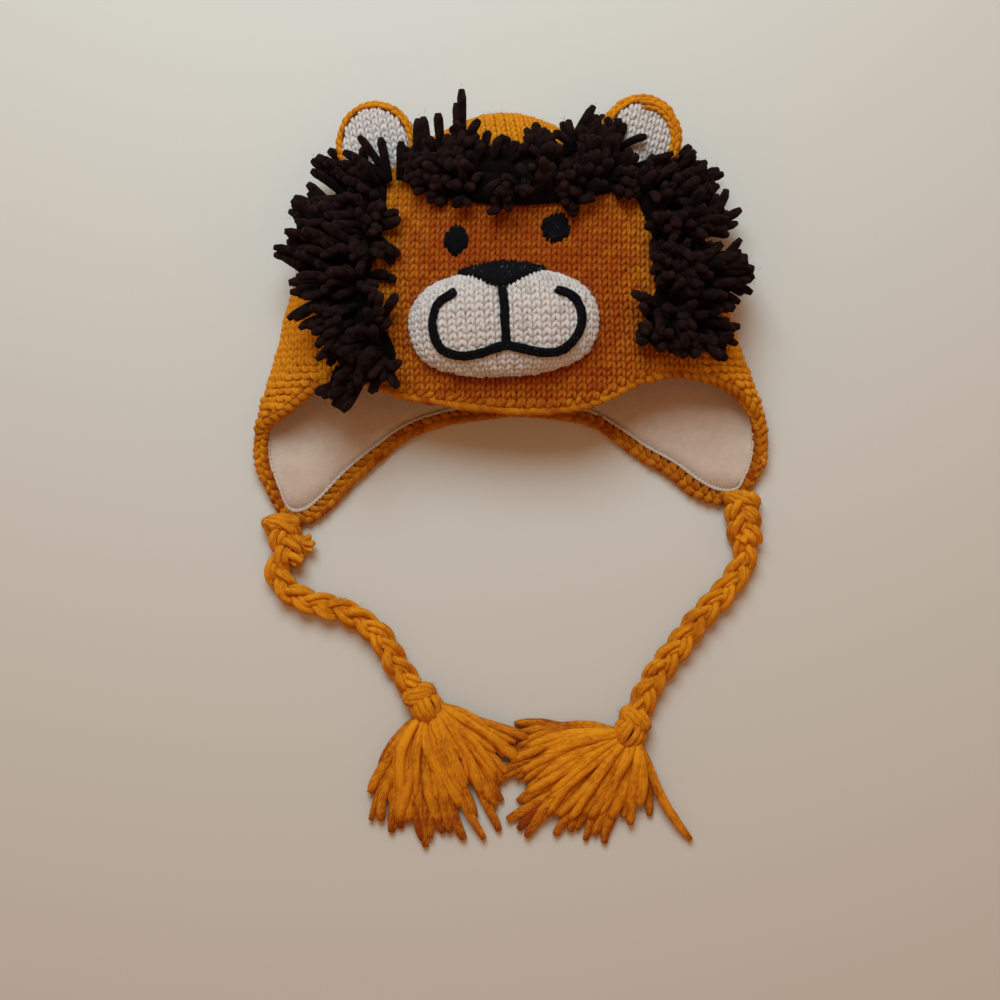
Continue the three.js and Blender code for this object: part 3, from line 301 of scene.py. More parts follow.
def grid(across, up):
    """Flat lists of a grid's places across and up."""
    return (places.ravel() for places in np.meshgrid(across, up))


def keep_over(points, lowest):
    """Lifts the points that lie lower than this."""
    points[..., 2] = np.maximum(points[..., 2], lowest)


def oval_size(along, up, power, way=1):
    """Size of the squared oval that each place lies on, or with way -1 one over that size."""
    return (np.abs(along) ** power + np.abs(up) ** power) ** (way / power)


def length_of(line):
    return float(np.linalg.norm(np.diff(line, axis=0), axis=1).sum())


def running_length(line):
    """Length from the line's start to each of its points."""
    return np.concatenate([[0], np.cumsum(np.linalg.norm(np.diff(line, axis=0), axis=1))])


def table_place(table, wanted):
    """The step of each rising table in which the wanted value lies, and how far along the step."""
    step = np.clip((table[..., 1:] < wanted[..., None]).sum(-1), 0, table.shape[-1] - 2)
    low = np.take_along_axis(table, step[..., None], -1)[..., 0]
    high = np.take_along_axis(table, step[..., None] + 1, -1)[..., 0]
    return step, (wanted - low) / np.maximum(high - low, 1e-9)


# The hat's surface

def slopes_of(values, places):
    """Slope of each column at each row, from its two neighbours."""
    before = np.maximum(np.arange(len(places)) - 1, 0)
    after = np.minimum(np.arange(len(places)) + 1, len(places) - 1)
    return (values[after] - values[before]) / (places[after] - places[before])[:, None]


def level_y(level):
    """y of a level: 0 at the top, 1 at the front edge, 2 at the flaps' tips."""
    level = np.asarray(level, float)
    return np.where(level <= 1, TOP_Y - level * CROWN_LENGTH, FRONT_Y - (level - 1) * FLAP_DROP)


SECTION_PLACES = np.sqrt(TOP_Y - level_y(SECTIONS[:, 0]))
SECTION_UNITS = np.array([HAT_WIDTH / 2, HAT_WIDTH / 2, CROWN_HEIGHT, CROWN_HEIGHT, CROWN_HEIGHT])
SECTION_VALUES = SECTIONS[:, 1:] * SECTION_UNITS
SECTION_SLOPES = slopes_of(SECTION_VALUES, SECTION_PLACES)


def section_at(y):
    """half, aside, high, foot and corner of the cross-section at each y."""
    place = np.sqrt(np.maximum(TOP_Y - np.asarray(y, float), 0))
    index = np.clip(np.searchsorted(SECTION_PLACES, place, side="left") - 1, 0, len(SECTIONS) - 2)
    step = SECTION_PLACES[index + 1] - SECTION_PLACES[index]
    t = np.minimum((place - SECTION_PLACES[index]) / step, 1)[..., None]
    step = step[..., None]
    values = (
        SECTION_VALUES[index] * (1 + 2 * t) * (1 - t) ** 2
        + SECTION_VALUES[index + 1] * t * t * (3 - 2 * t)
        + SECTION_SLOPES[index] * step * t * (1 - t) ** 2
        - SECTION_SLOPES[index + 1] * step * t * t * (1 - t)
    )
    half, aside, high, foot, corner = np.moveaxis(values, -1, 0)
    return np.maximum(half, 1e-6), aside, high, np.maximum(foot, 0), np.maximum(corner, 0)


def dent_at(x, y):
    """How far the dents and swells raise the upper side."""
    rise = np.zeros(np.broadcast(x, y).shape)
    for dent_x, level, reach, high in DENTS:
        away = np.hypot(x - dent_x * HAT_WIDTH / 2, y - level_y(level))
        rise += high * CROWN_HEIGHT * np.exp(-((away / (reach * CROWN_LENGTH)) ** 2))
    return rise


ARC_STEPS = 32
ARC_ANGLES = np.pi / 2 * (1 - (np.arange(ARC_STEPS) + 0.5) / ARC_STEPS)


def arc_table(half, rise):
    """Running length along the quarter ellipse from its top to the fold."""
    steps = np.hypot(half[..., None] * np.sin(ARC_ANGLES), rise[..., None] * np.cos(ARC_ANGLES))
    lengths = np.cumsum(steps, -1) * (np.pi / 2 / ARC_STEPS)
    return np.concatenate([np.zeros(lengths.shape[:-1] + (1,)), lengths], -1)


def arch_angle(half, rise, share):
    """Angle on the quarter ellipse at a share of its length from the top."""
    table = arc_table(half, rise)
    step, part = table_place(table, share * table[..., -1])
    return np.pi / 2 * (1 - (step + part) / ARC_STEPS)


def surface_point(around, y):
    """A point of the crown's outer surface: around is 0 at the front, 1 at the side fold, 2 at the back."""
    around, y = np.broadcast_arrays(np.asarray(around, float), np.asarray(y, float))
    side = np.where(around < 0, -1.0, 1.0)
    turn = np.abs(around)
    half, aside, high, foot, corner = section_at(y)
    fold = foot + corner
    angle = arch_angle(half, np.maximum(high - fold, 1e-6), np.minimum(turn, 1))
    front_x = aside + side * half * np.cos(angle)
    front_z = fold + (high - fold + dent_at(front_x, y)) * np.sin(angle)
    flat = np.maximum(half - corner, 0)
    bend = corner * np.pi / 2
    run = (turn - 1) * (flat + bend)
    round_angle = run / np.maximum(corner, 1e-9)
    bend_x = aside + side * (flat + corner * np.cos(round_angle))
    bend_z = fold - corner * np.sin(round_angle)
    flat_x = aside + side * (flat + bend - run)
    back_x = np.where(run < bend, bend_x, flat_x)
    back_z = np.where(run < bend, bend_z, foot)
    x = np.where(turn <= 1, front_x, back_x)
    z = np.where(turn <= 1, front_z, back_z)
    return np.stack([x, y, z], -1)


PROBE = 0.4 * MM                # how far to either side a slope is measured


def surface_normal(around, y):
    """The way straight out of the crown."""
    turn = PROBE / (HAT_WIDTH / 4)
    across = surface_point(around + turn, y) - surface_point(around - turn, y)
    up = surface_point(around, y + PROBE) - surface_point(around, y - PROBE)
    return unit(np.cross(across, up))


def crown_height(x, y):
    """Height of the crown's upper side over the table."""
    half, aside, high, foot, corner = section_at(y)
    fold = foot + corner
    across = np.minimum(np.abs(x - aside) / half, 1)
    return fold + (high - fold + dent_at(x, y)) * np.sqrt(1 - across * across)


def smooth_line(points, samples, even=True):
    """A smooth line through the points, with its samples even along it or even from point to point."""
    points = np.asarray(points, float)
    first = 2 * points[0] - points[1]
    last = 2 * points[-1] - points[-2]
    padded = np.vstack([first, points, last])

    def at(t):
        place = np.clip(np.asarray(t, float) * (len(points) - 1), 0, len(points) - 1 - 1e-9)
        k = place.astype(int)
        u = (place - k)[..., None]
        p0, p1, p2, p3 = (padded[k + n] for n in range(4))
        d0, d1, d2 = (
            np.sqrt(np.maximum(np.linalg.norm(b - a, axis=-1, keepdims=True), 1e-9))
            for a, b in ((p0, p1), (p1, p2), (p2, p3))
        )
        m1 = ((p1 - p0) / d0 - (p2 - p0) / (d0 + d1) + (p2 - p1) / d1) * d1
        m2 = ((p2 - p1) / d1 - (p3 - p1) / (d1 + d2) + (p3 - p2) / d2) * d1
        return (
            p1 * (1 + 2 * u) * (1 - u) ** 2 + p2 * u * u * (3 - 2 * u)
            + m1 * u * (1 - u) ** 2 - m2 * u * u * (1 - u)
        )

    if not even:
        return at(samples)
    fine = at(np.linspace(0, 1, 400))
    lengths = running_length(fine)
    wanted = np.asarray(samples, float) * lengths[-1]
    return np.stack([np.interp(wanted, lengths, fine[:, k]) for k in range(fine.shape[1])], -1)


EDGE_POINTS = np.array(
    [(-around * QUARTER_GIRTH, level_y(level)) for around, level in reversed(EDGE_LEFT[1:])]
    + [(around * QUARTER_GIRTH, level_y(level)) for around, level in EDGE_RIGHT]
)


def edge_place(t, inset):
    """around and y of a place by its share of the lower edge and its distance in from it."""
    small = 1e-4
    t = np.asarray(t, float)
    place = smooth_line(EDGE_POINTS, np.clip(t, 0, 1), even=False)
    ahead = smooth_line(EDGE_POINTS, np.clip(t + small, 0, 1), even=False)
    behind = smooth_line(EDGE_POINTS, np.clip(t - small, 0, 1), even=False)
    tangent = unit(ahead - behind)
    around = (place[..., 0] - tangent[..., 1] * inset) / QUARTER_GIRTH
    return around, place[..., 1] + tangent[..., 0] * inset


def edge_y(around):
    """y of the lower edge at each place round the hat."""
    t = np.linspace(0, 1, 600)
    line = smooth_line(EDGE_POINTS, t, even=False)
    return np.interp(around, line[:, 0] / QUARTER_GIRTH, line[:, 1])


# Meshes from arrays

class Strands:
    """Round strands of yarn, collected as arrays and made into one mesh."""

    def __init__(self):
        self.points = []
        self.corners = []
        self.sizes = []
        self.uvs = []
        self.tones = []
        self.count = 0

    def add(self, paths, radii, up, sides=6, flat=1.0, tones=0.5):
        """paths: strands x steps x 3. radii: to match. up: which way is up on each strand."""
        paths = np.asarray(paths, float)
        number, steps, _ = paths.shape
        radii = np.broadcast_to(radii, (number, steps))
        along = unit(np.gradient(paths, axis=1))
        side = unit(np.cross(along, np.broadcast_to(up, paths.shape)))
        over = np.cross(side, along)
        angles = 2 * np.pi * (np.arange(sides) + 0.5) / sides
        ring = (
            side[:, :, None] * np.cos(angles)[:, None]
            + over[:, :, None] * (np.sin(angles) * flat)[:, None]
        )
        points = paths[:, :, None] + radii[:, :, None, None] * ring
        index = np.arange(number * steps * sides).reshape(number, steps, sides) + self.count
        after = np.roll(index, -1, axis=2)
        quads = np.stack([index[:, :-1], index[:, 1:], after[:, 1:], after[:, :-1]], -1)
        gaps = np.linalg.norm(np.diff(paths, axis=1), axis=2)
        run = np.concatenate([np.zeros((number, 1)), np.cumsum(gaps, 1)], 1)
        share = np.arange(sides) / sides
        first = np.broadcast_to(run[:, :-1, None], quads.shape[:3])
        second = np.broadcast_to(run[:, 1:, None], quads.shape[:3])
        low = np.broadcast_to(share, quads.shape[:3])
        high = low + 1 / sides
        uv = np.stack([first, low, second, low, second, high, first, high], -1)
        self.points.append(points.reshape(-1, 3))
        self.corners.append(quads.reshape(-1))
        self.sizes.append(np.full(quads.size // 4, 4))
        self.uvs.append(uv.reshape(-1, 2))
        ends = np.concatenate([index[:, 0], index[:, -1, ::-1]])
        end_run = np.concatenate([run[:, 0], run[:, -1]])
        end_uv = np.stack([np.repeat(end_run[:, None], sides, 1), np.zeros((2 * number, sides))], -1)
        self.corners.append(ends.reshape(-1))
        self.sizes.append(np.full(2 * number, sides))
        self.uvs.append(end_uv.reshape(-1, 2))
        tones = np.asarray(tones, float)
        if tones.ndim < 2:
            tones = tones.reshape(-1, 1)
        self.tones.append(np.repeat(np.broadcast_to(tones, (number, steps)), sides))
        self.count += number * steps * sides

    def build(self, name, material):
        return mesh_object(
            name, np.vstack(self.points), np.concatenate(self.corners), np.concatenate(self.sizes),
            material, uvs=np.vstack(self.uvs), tones=np.concatenate(self.tones),
        )


def mesh_object(name, points, corners, sizes, material, uvs=None, tones=None):
    """An object whose mesh has these points and faces. corners lists each face's points in turn."""
    mesh = bpy.data.meshes.new(name)
    mesh.vertices.add(len(points))
    mesh.vertices.foreach_set("co", np.asarray(points, np.float32).ravel())
    mesh.loops.add(len(corners))
    mesh.loops.foreach_set("vertex_index", np.asarray(corners, np.int32))
    mesh.polygons.add(len(sizes))
    starts = np.concatenate([[0], np.cumsum(sizes)[:-1]])
    mesh.polygons.foreach_set("loop_start", starts.astype(np.int32))
    mesh.polygons.foreach_set("use_smooth", np.ones(len(sizes), bool))
    mesh.update(calc_edges=True)
    if uvs is not None:
        layer = mesh.uv_layers.new(name="Yarn")
        layer.uv.foreach_set("vector", np.asarray(uvs, np.float32).ravel())
    tone = mesh.attributes.new("tone", "FLOAT", "POINT")
    values = np.full(len(points), 0.5) if tones is None else np.asarray(tones)
    tone.data.foreach_set("value", values.astype(np.float32))
    mesh.validate()
    mesh.materials.append(material)
    piece = bpy.data.objects.new(name, mesh)
    bpy.context.scene.collection.objects.link(piece)
    return piece


def ring_body(name, first_tip, rings, last_tip, material, tones=None):
    """A closed body through rings of points, from one tip to the other."""
    rings = np.asarray(rings, float)
    rows, count, _ = rings.shape
    points = np.vstack([first_tip, rings.reshape(-1, 3), last_tip])
    index = 1 + np.arange(rows * count).reshape(rows, count)
    after = np.roll(index, -1, axis=1)
    quads = np.stack([index[:-1], after[:-1], after[1:], index[1:]], -1).reshape(-1, 4)
    last = len(points) - 1
    first_fan = np.stack([np.zeros(count, int), after[0], index[0]], -1)
    last_fan = np.stack([np.full(count, last), index[-1], after[-1]], -1)
    a, b, c = points[quads[:, 0]], points[quads[:, 1]], points[quads[:, 2]]
    d = points[quads[:, 3]]
    volume = np.einsum("ij,ij->i", a, np.cross(b, c)).sum() + np.einsum("ij,ij->i", a, np.cross(c, d)).sum()
    if volume < 0:
        quads, first_fan, last_fan = quads[:, ::-1], first_fan[:, ::-1], last_fan[:, ::-1]
    corners = np.concatenate([quads.reshape(-1), first_fan.reshape(-1), last_fan.reshape(-1)])
    sizes = np.concatenate([np.full(len(quads), 4), np.full(2 * count, 3)])
    return mesh_object(name, points, corners, sizes, material, tones=tones)


def settle(piece, slot, *nodes):
    """The piece moves with the hat and stands for the nodes, which it hides. The slot is not used."""
    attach(piece, "root")
    if nodes:
        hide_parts(*nodes)
    return piece


# Materials

def node(tree, kind, inputs=None, **settings):
    made = tree.nodes.new(kind)
    for key, value in settings.items():
        setattr(made, key, value)
    for key, value in (inputs or {}).items():
        if isinstance(value, bpy.types.NodeSocket):
            tree.links.new(value, made.inputs[key])
        else:
            made.inputs[key].default_value = value
    return made


def maths(tree, operation, first, second=None, third=None, clamp=False):
    inputs = {k: v for k, v in enumerate((first, second, third)) if v is not None}
    return node(tree, "ShaderNodeMath", inputs, operation=operation, use_clamp=clamp).outputs[0]


def blend_colours(tree, share, first, second):
    made = node(tree, "ShaderNodeMix", data_type="RGBA", clamp_factor=True)
    for key, value in (("Factor_Float", share), ("A_Color", first), ("B_Color", second)):
        target = next(s for s in made.inputs if s.identifier == key)
        if isinstance(value, bpy.types.NodeSocket):
            tree.links.new(value, target)
        else:
            target.default_value = value
    return next(s for s in made.outputs if s.identifier == "Result_Color")


def fabric_group(name, inputs):
    """A node group with these inputs and their values, that gives a colour and a height."""
    group = bpy.data.node_groups.new(name, "ShaderNodeTree")
    for key, value in inputs.items():
        kind = "NodeSocketFloat" if isinstance(value, float) else "NodeSocketColor"
        made = group.interface.new_socket(name=key, in_out="INPUT", socket_type=kind)
        made.default_value = value
    group.interface.new_socket(name="Colour", in_out="OUTPUT", socket_type="NodeSocketColor")
    group.interface.new_socket(name="Height", in_out="OUTPUT", socket_type="NodeSocketFloat")
    return group, node(group, "NodeGroupInput"), node(group, "NodeGroupOutput")


# Noise scales of the wool: single fibres and larger patches, each per metre, and for the streaks that
# run with the yarn how fast they change along and round it
FIBRE_SCALE = 2600.0
PATCH_SCALE = 160.0
STREAKS_ALONG = 260.0
STREAKS_ROUND = 2.4
STREAK_SCALE = 1.5
STREAK_DEPTH = -2.2             # below 0, so that raised streaks take the lighter colour: painted highlight on the raised fibres, painted shade on the low ones


def wool_group():
    """Colour and height of plied, slightly fuzzy wool yarn."""
    group, source, result = fabric_group("wool_yarn", {
        "Colour": (0.8, 0.8, 0.8, 1), "Deep colour": (0.4, 0.4, 0.4, 1), "Plies": 2.0,
        "Ply length": 0.008, "Ply depth": 0.5, "Mottle": 0.25,
    })
    uv = node(group, "ShaderNodeUVMap", uv_map="Yarn").outputs[0]
    parts = node(group, "ShaderNodeSeparateXYZ", {0: uv})
    turns = maths(group, "DIVIDE", parts.outputs["X"], source.outputs["Ply length"])
    phase = maths(group, "MULTIPLY_ADD", parts.outputs["Y"], source.outputs["Plies"], turns)
    wave = maths(group, "SINE", maths(group, "MULTIPLY", phase, 2 * math.pi))
    ply = maths(group, "MULTIPLY_ADD", wave, 0.5, 0.5)
    place = node(group, "ShaderNodeTexCoord").outputs["Object"]
    fibres = node(group, "ShaderNodeTexNoise", {"Vector": place, "Scale": FIBRE_SCALE, "Detail": 2.0})
    patches = node(group, "ShaderNodeTexNoise", {"Vector": place, "Scale": PATCH_SCALE, "Detail": 3.0})
    twist = maths(group, "MULTIPLY_ADD", turns, 0.5, parts.outputs["Y"])
    twist = maths(group, "MULTIPLY", twist, 2 * math.pi)
    strand_place = node(group, "ShaderNodeCombineXYZ", {
        0: maths(group, "MULTIPLY", parts.outputs["X"], STREAKS_ALONG),
        1: maths(group, "MULTIPLY", maths(group, "COSINE", twist), STREAKS_ROUND),
        2: maths(group, "MULTIPLY", maths(group, "SINE", twist), STREAKS_ROUND),
    }).outputs[0]
    streaks = node(group, "ShaderNodeTexNoise", {
        "Vector": strand_place, "Scale": STREAK_SCALE, "Detail": 4.0, "Roughness": 0.65,
    }).outputs[0]
    tone = node(group, "ShaderNodeAttribute", attribute_name="tone").outputs["Fac"]
    # The grooves between the plies take the deep colour: painted shade.
    groove = maths(group, "MULTIPLY", maths(group, "SUBTRACT", 1.0, ply), source.outputs["Ply depth"])
    mottled = maths(group, "SUBTRACT", patches.outputs[0], 0.5)
    mottled = maths(group, "MULTIPLY", mottled, source.outputs["Mottle"])
    # Fibre streaks of their own tone, lighter where raised as painted highlight and darker where low as
    # painted shade.
    streak_tone_and_highlight = maths(group, "MULTIPLY", maths(group, "SUBTRACT", streaks, 0.5), STREAK_DEPTH)
    share = maths(group, "ADD", maths(group, "ADD", groove, mottled), streak_tone_and_highlight)
    # The tone attribute adds the deep colour: random tone, and painted shade over the face, at the mane's
    # roots, on the mane's pile and in the tassels' lower layers.
    share = maths(group, "ADD", share, tone, clamp=True)
    colour = blend_colours(group, share, source.outputs["Colour"], source.outputs["Deep colour"])
    height = maths(group, "MULTIPLY_ADD", streaks, 2.6, maths(group, "MULTIPLY", ply, 0.7))
    height = maths(group, "MULTIPLY_ADD", fibres.outputs[0], 0.3, height)
    group.links.new(colour, result.inputs["Colour"])
    group.links.new(height, result.inputs["Height"])
    return group


def fleece_group():
    """Colour and height of short, matted fleece pile."""
    group, source, result = fabric_group("fleece_pile", {
        "Colour": (0.8, 0.8, 0.8, 1), "Deep colour": (0.6, 0.5, 0.4, 1), "Pile scale": 1500.0,
    })
    place = node(group, "ShaderNodeTexCoord").outputs["Object"]
    pile = node(group, "ShaderNodeTexNoise", {
        "Vector": place, "Scale": source.outputs["Pile scale"], "Detail": 4.0, "Roughness": 0.7,
    })
    clumps = node(group, "ShaderNodeTexNoise", {"Vector": place, "Scale": 220.0, "Detail": 3.0})
    share = maths(group, "MULTIPLY", pile.outputs[0], clumps.outputs[0])
    share = maths(group, "MULTIPLY_ADD", share, 1.6, -0.15, clamp=True)
    colour = blend_colours(group, share, source.outputs["Deep colour"], source.outputs["Colour"])
    height = maths(group, "MULTIPLY_ADD", clumps.outputs[0], 0.6, pile.outputs[0])
    group.links.new(colour, result.inputs["Colour"])
    group.links.new(height, result.inputs["Height"])
    return group


def rgba(colour, shade=1.0):
    """The colour, made lighter or darker by the shade, with full cover."""
    return (*(c * shade for c in colour), 1.0)


def fabric(name, group, inputs, bump, tint, sheen, sheen_rough):
    """A matt fabric whose colour and height come from a node group."""
    material = bpy.data.materials.new(name)
    material.use_nodes = True
    tree = material.node_tree
    tree.nodes.clear()
    made = node(tree, "ShaderNodeGroup", node_tree=group)
    for key, value in inputs.items():
        made.inputs[key].default_value = value
    relief = node(tree, "ShaderNodeBump", {
        "Height": made.outputs["Height"], "Strength": 1.0, "Distance": bump,
    })
    shader = node(tree, "ShaderNodeBsdfPrincipled", {
        "Base Color": made.outputs["Colour"], "Normal": relief.outputs["Normal"],
        "Roughness": 0.92, "Specular IOR Level": 0.1, "Sheen Weight": sheen,
        "Sheen Roughness": sheen_rough, "Sheen Tint": rgba(tint),
    })
    node(tree, "ShaderNodeOutputMaterial", {"Surface": shader.outputs[0]})
    return material


# Wools: key, material, colour and its shade, deep colour and its shade, plies, ply length, ply groove shade
# (how much painted shade the grooves between the plies take), mottle, relief, then tint, weight and
# roughness of the sheen
WOOLS = [
    ("knit_gold", "golden_knit", "gold", 1.0, "amber", 1.0, 2.0, 3.2 * MM, 0.22, 0.7, 0.16 * MM,
     (1.0, 0.45, 0.08), 0.10, 0.5),
    # The golden ground under the stitches is deep amber: painted shade in the gaps between the stitches.
    ("knit_ground", "golden_knit_ground", "amber", 1.3, "amber", 0.7, 0.0, 1.0, 0.3, 0.5, 0.2 * MM,
     (1.0, 0.45, 0.08), 0.05, 0.5),
    ("yarn_gold", "golden_yarn", "gold", 1.06, "amber", 0.90, 2.0, 42 * MM, 0.26, 0.9, 0.2 * MM,
     (1.0, 0.48, 0.08), 0.12, 0.5),
    ("crochet_gold", "crochet_yarn", "gold", 0.82, "amber", 0.9, 2.0, 12 * MM, 0.3, 0.8, 0.2 * MM,
     (1.0, 0.45, 0.08), 0.08, 0.5),
    ("knit_cream", "cream_knit", "cream", 1.0, "cream", 0.66, 2.0, 3.2 * MM, 0.25, 0.9, 0.16 * MM,
     (1.0, 0.97, 0.93), 0.25, 0.5),
    # The cream ground under the stitches is darker than the cream knit: painted shade in the gaps between
    # the stitches.
    ("cream_ground", "cream_knit_ground", "cream", 0.7, "cream", 0.45, 0.0, 1.0, 0.3, 0.5, 0.2 * MM,
     (1.0, 0.95, 0.9), 0.1, 0.5),
    ("yarn_brown", "mane_yarn", "brown", 1.5, "brown", 0.16, 2.0, 6.5 * MM, 0.5, 0.8, 0.35 * MM,
     (0.75, 0.32, 0.22), 0.035, 0.4),
    ("yarn_black", "face_yarn", "black", 1.4, "black", 0.5, 2.0, 4.0 * MM, 0.4, 0.8, 0.25 * MM,
     (0.35, 0.4, 0.6), 0.03, 0.4),
]
# Fleeces: key, material, shade of the deep colour, pile scale, relief
FLEECES = [
    ("fleece_cream", "fleece_lining", 0.72, 1500.0, 0.35 * MM),
    ("fleece_hem", "fleece_hem", 0.75, 2200.0, 0.2 * MM),
]


def make_materials(colours):
    wool = wool_group()
    fleece = fleece_group()
    for key, name, colour, shade, deep, deep_shade, plies, long, depth, mottle, *surface in WOOLS:
        MATERIALS[key] = fabric(name, wool, {
            "Colour": rgba(getattr(colours, colour), shade),
            "Deep colour": rgba(getattr(colours, deep), deep_shade),
            "Plies": plies, "Ply length": long, "Ply depth": depth, "Mottle": mottle,
        }, *surface)
    for key, name, deep_shade, scale, relief in FLEECES:
        MATERIALS[key] = fabric(name, fleece, {
            "Colour": rgba(colours.fleece), "Deep colour": rgba(colours.fleece, deep_shade),
            "Pile scale": scale,
        }, relief, (1.0, 0.95, 0.9), 0.3, 0.5)


# Knitting

# One leg of a stitch: across (shares of the stitch's width), up (of its height), out (of the yarn's
# radius), thick (of the yarn's radius)
LEG = np.array([
    (0.10, -0.80, -0.60, 0.60),
    (0.17, -0.38, 0.48, 1.02),
    (0.27, 0.10, 0.62, 1.12),
    (0.33, 0.56, 0.22, 1.00),
    (0.33, 0.98, -0.75, 0.55),
])
# A purl bump: the same columns
BUMP = np.array([
    (-0.52, -0.46, -0.40, 0.90),
    (-0.27, 0.05, 0.50, 1.38),
    (0.02, 0.26, 0.85, 1.55),
    (0.29, 0.16, 0.50, 1.38),
    (0.52, -0.26, -0.40, 0.90),
])


STITCH_RADIUS = 0.262           # of the yarn in a stitch, in shares of the stitch's width
STITCH_GAP = 0.15 * MM          # least distance of a stitch from the table


def stitch_paths(surface, s, r, width, height, radius, rng, form, mirror):
    """Paths and radii of one leg in each stitch. surface(s, r, out) gives points in space."""
    jitter = rng.normal(0, 1, (len(s), 3))
    across = form[:, 0] * mirror * (1 + 0.06 * jitter[:, :1])
    up = form[:, 1] + 0.05 * jitter[:, 1:2]
    out = form[:, 2] + 0.10 * jitter[:, 2:3]
    points = surface(s[:, None] + across * width, r[:, None] + up * height, out * radius)
    radii = form[:, 3] * radius * (1 + 0.05 * jitter[:, 2:3])
    return points, radii


def knit(strands, surface, s, r, width, height, rng, tones, sides=5, form=LEG):
    """Knitted stitches with their middles at s and r, lengths across and along the surface."""
    radius = width * STITCH_RADIUS
    for mirror in (1.0,) if form is BUMP else (1.0, -1.0):
        paths, radii = stitch_paths(surface, s, r, width, height, radius, rng, form, mirror)
        across = s[:, None] + form[:, 0] * mirror * width
        along = r[:, None] + form[:, 1] * height
        lifted = surface(across, along, radius)
        floor = surface(across, along, 0.0)
        keep_over(paths, radii + STITCH_GAP)
        strands.add(paths, radii, unit(lifted - floor), sides=sides, flat=0.9, tones=tones)


# The crown: rows run round it at even distances along its middle line
ROW_Y = np.linspace(TOP_Y, level_y(2.1), 900)
ROW_RUN = np.concatenate([[0], np.cumsum(np.hypot(np.diff(ROW_Y), np.diff(section_at(ROW_Y)[2])))])
YARN_DEPTH = 0.75 * MM          # how deep the yarn's middle lies in the wall


def girths(y):
    """Length round the hat from its front to its side fold, and on to the middle of its back."""
    half, _, high, foot, corner = section_at(y)
    fold = foot + corner
    front = arc_table(half, np.maximum(high - fold, 1e-6))[..., -1]
    return front, np.maximum(half - corner, 0) + corner * np.pi / 2


def crown_around(s, y):
    """around of a place by its length s from the middle of the front."""
    front, back = girths(y)
    beyond = np.abs(s) > front
    turn = np.where(beyond, 1 + (np.abs(s) - front) / back, np.abs(s) / front)
    return np.sign(s) * np.minimum(turn, 2.0)


def crown_surface(s, r, out):
    """A point by its lengths round and down the crown and its distance out of the yarn's middle."""
    y = np.interp(r, ROW_RUN, ROW_Y)
    around = crown_around(s, y)
    normal = surface_normal(around, y)
    return surface_point(around, y) + normal * (np.asarray(out) - YARN_DEPTH)[..., None]


def muzzle_shares(x, y):
    """along and up of a place in shares of half the muzzle, and its share of the way to the outline."""
    along, up = turned(x - MUZZLE_PLACE[0], y - MUZZLE_PLACE[1], -MUZZLE_TURN)
    along, up = along / MUZZLE_HALF[0], up / MUZZLE_HALF[1]
    return along, up, oval_size(along, up, MUZZLE_POWER)


def mane_curve(name, samples):
    rows = np.array(MANE_LINES[name])
    line = np.stack([rows[:, 0] * HAT_WIDTH / 2, level_y(rows[:, 1])], -1)
    return smooth_line(line, samples)


MANE_COVER = (0.06, 0.88)       # the part of each mane line that hides the knit under it


def mane_distance(x, y):
    """Distance to the nearest mane line, short of its ends."""
    away = np.full(np.shape(x), 1.0)
    for name in MANE_LINES:
        line = mane_curve(name, np.linspace(*MANE_COVER, 40))
        apart = np.hypot(x[..., None] - line[:, 0], y[..., None] - line[:, 1])
        away = np.minimum(away, apart.min(-1))
    return away


# Painted shade of the face, for the mane's shadow and the light from the top: where the gold is deepest, its
# middle and half size. The back has one tone
FACE_SHADE_MIDDLE = (0.004, -0.004)
FACE_SHADE_HALF = (0.070, 0.063)
BACK_TONE = 0.25


def face_shade(x, y):
    """How deep the gold is, as painted shade: deepest over the face, lightest on the sides."""
    across = (x - FACE_SHADE_MIDDLE[0]) / FACE_SHADE_HALF[0]
    up = (y - FACE_SHADE_MIDDLE[1]) / FACE_SHADE_HALF[1]
    return np.clip(0.02 + 0.93 * np.exp(-across ** 4 - up ** 4), 0, 1)


# Garter stitch lies between these places round the hat and this far up from the edge, and behind the
# side fold it lies below this y
GARTER_AROUND = (0.74, 1.25)
GARTER_REACH = 19 * MM
GARTER_TOP = FRONT_Y + 12 * MM
BACK_AROUND = 1.12              # from here on the stitches are the back's
# No stitch is knitted within this share of the muzzle and this close to a mane's line
MUZZLE_HIDES = 0.84
MANE_HIDES = MANE_BAND * 0.27


def crown_stitches(yarn):
    """s, r, y, around and middle of every stitch of the crown and flaps, and which are garter stitch."""
    width, height = yarn.stitch_width, yarn.stitch_height
    rows = np.arange(0.6, ROW_RUN[-1] / height) * height
    columns = np.arange(-60, 61) * width
    s, r = grid(columns, rows)
    y = np.interp(r, ROW_RUN, ROW_Y)
    front, back = girths(y)
    inside = np.abs(s) <= front + back - 0.3 * width
    s, r, y = s[inside], r[inside], y[inside]
    around = crown_around(s, y)
    inside = y > edge_y(around) + EDGING_WIDTH * 0.8
    s, r, y, around = s[inside], r[inside], y[inside], around[inside]
    middle = surface_point(around, y)
    on_front = np.abs(around) < 1
    under_muzzle = on_front & (muzzle_shares(middle[:, 0], y)[2] < MUZZLE_HIDES)
    under_mane = on_front & (mane_distance(middle[:, 0], y) < MANE_HIDES)
    keep = ~(under_muzzle | under_mane)
    s, r, y, around, middle = s[keep], r[keep], y[keep], around[keep], middle[keep]
    above_edge = y - edge_y(around)
    turn = np.abs(around)
    garter = (turn > GARTER_AROUND[0]) & (turn < GARTER_AROUND[1]) & (above_edge < GARTER_REACH)
    garter |= (turn >= 1) & (y < GARTER_TOP)
    return s, r, y, around, middle, garter


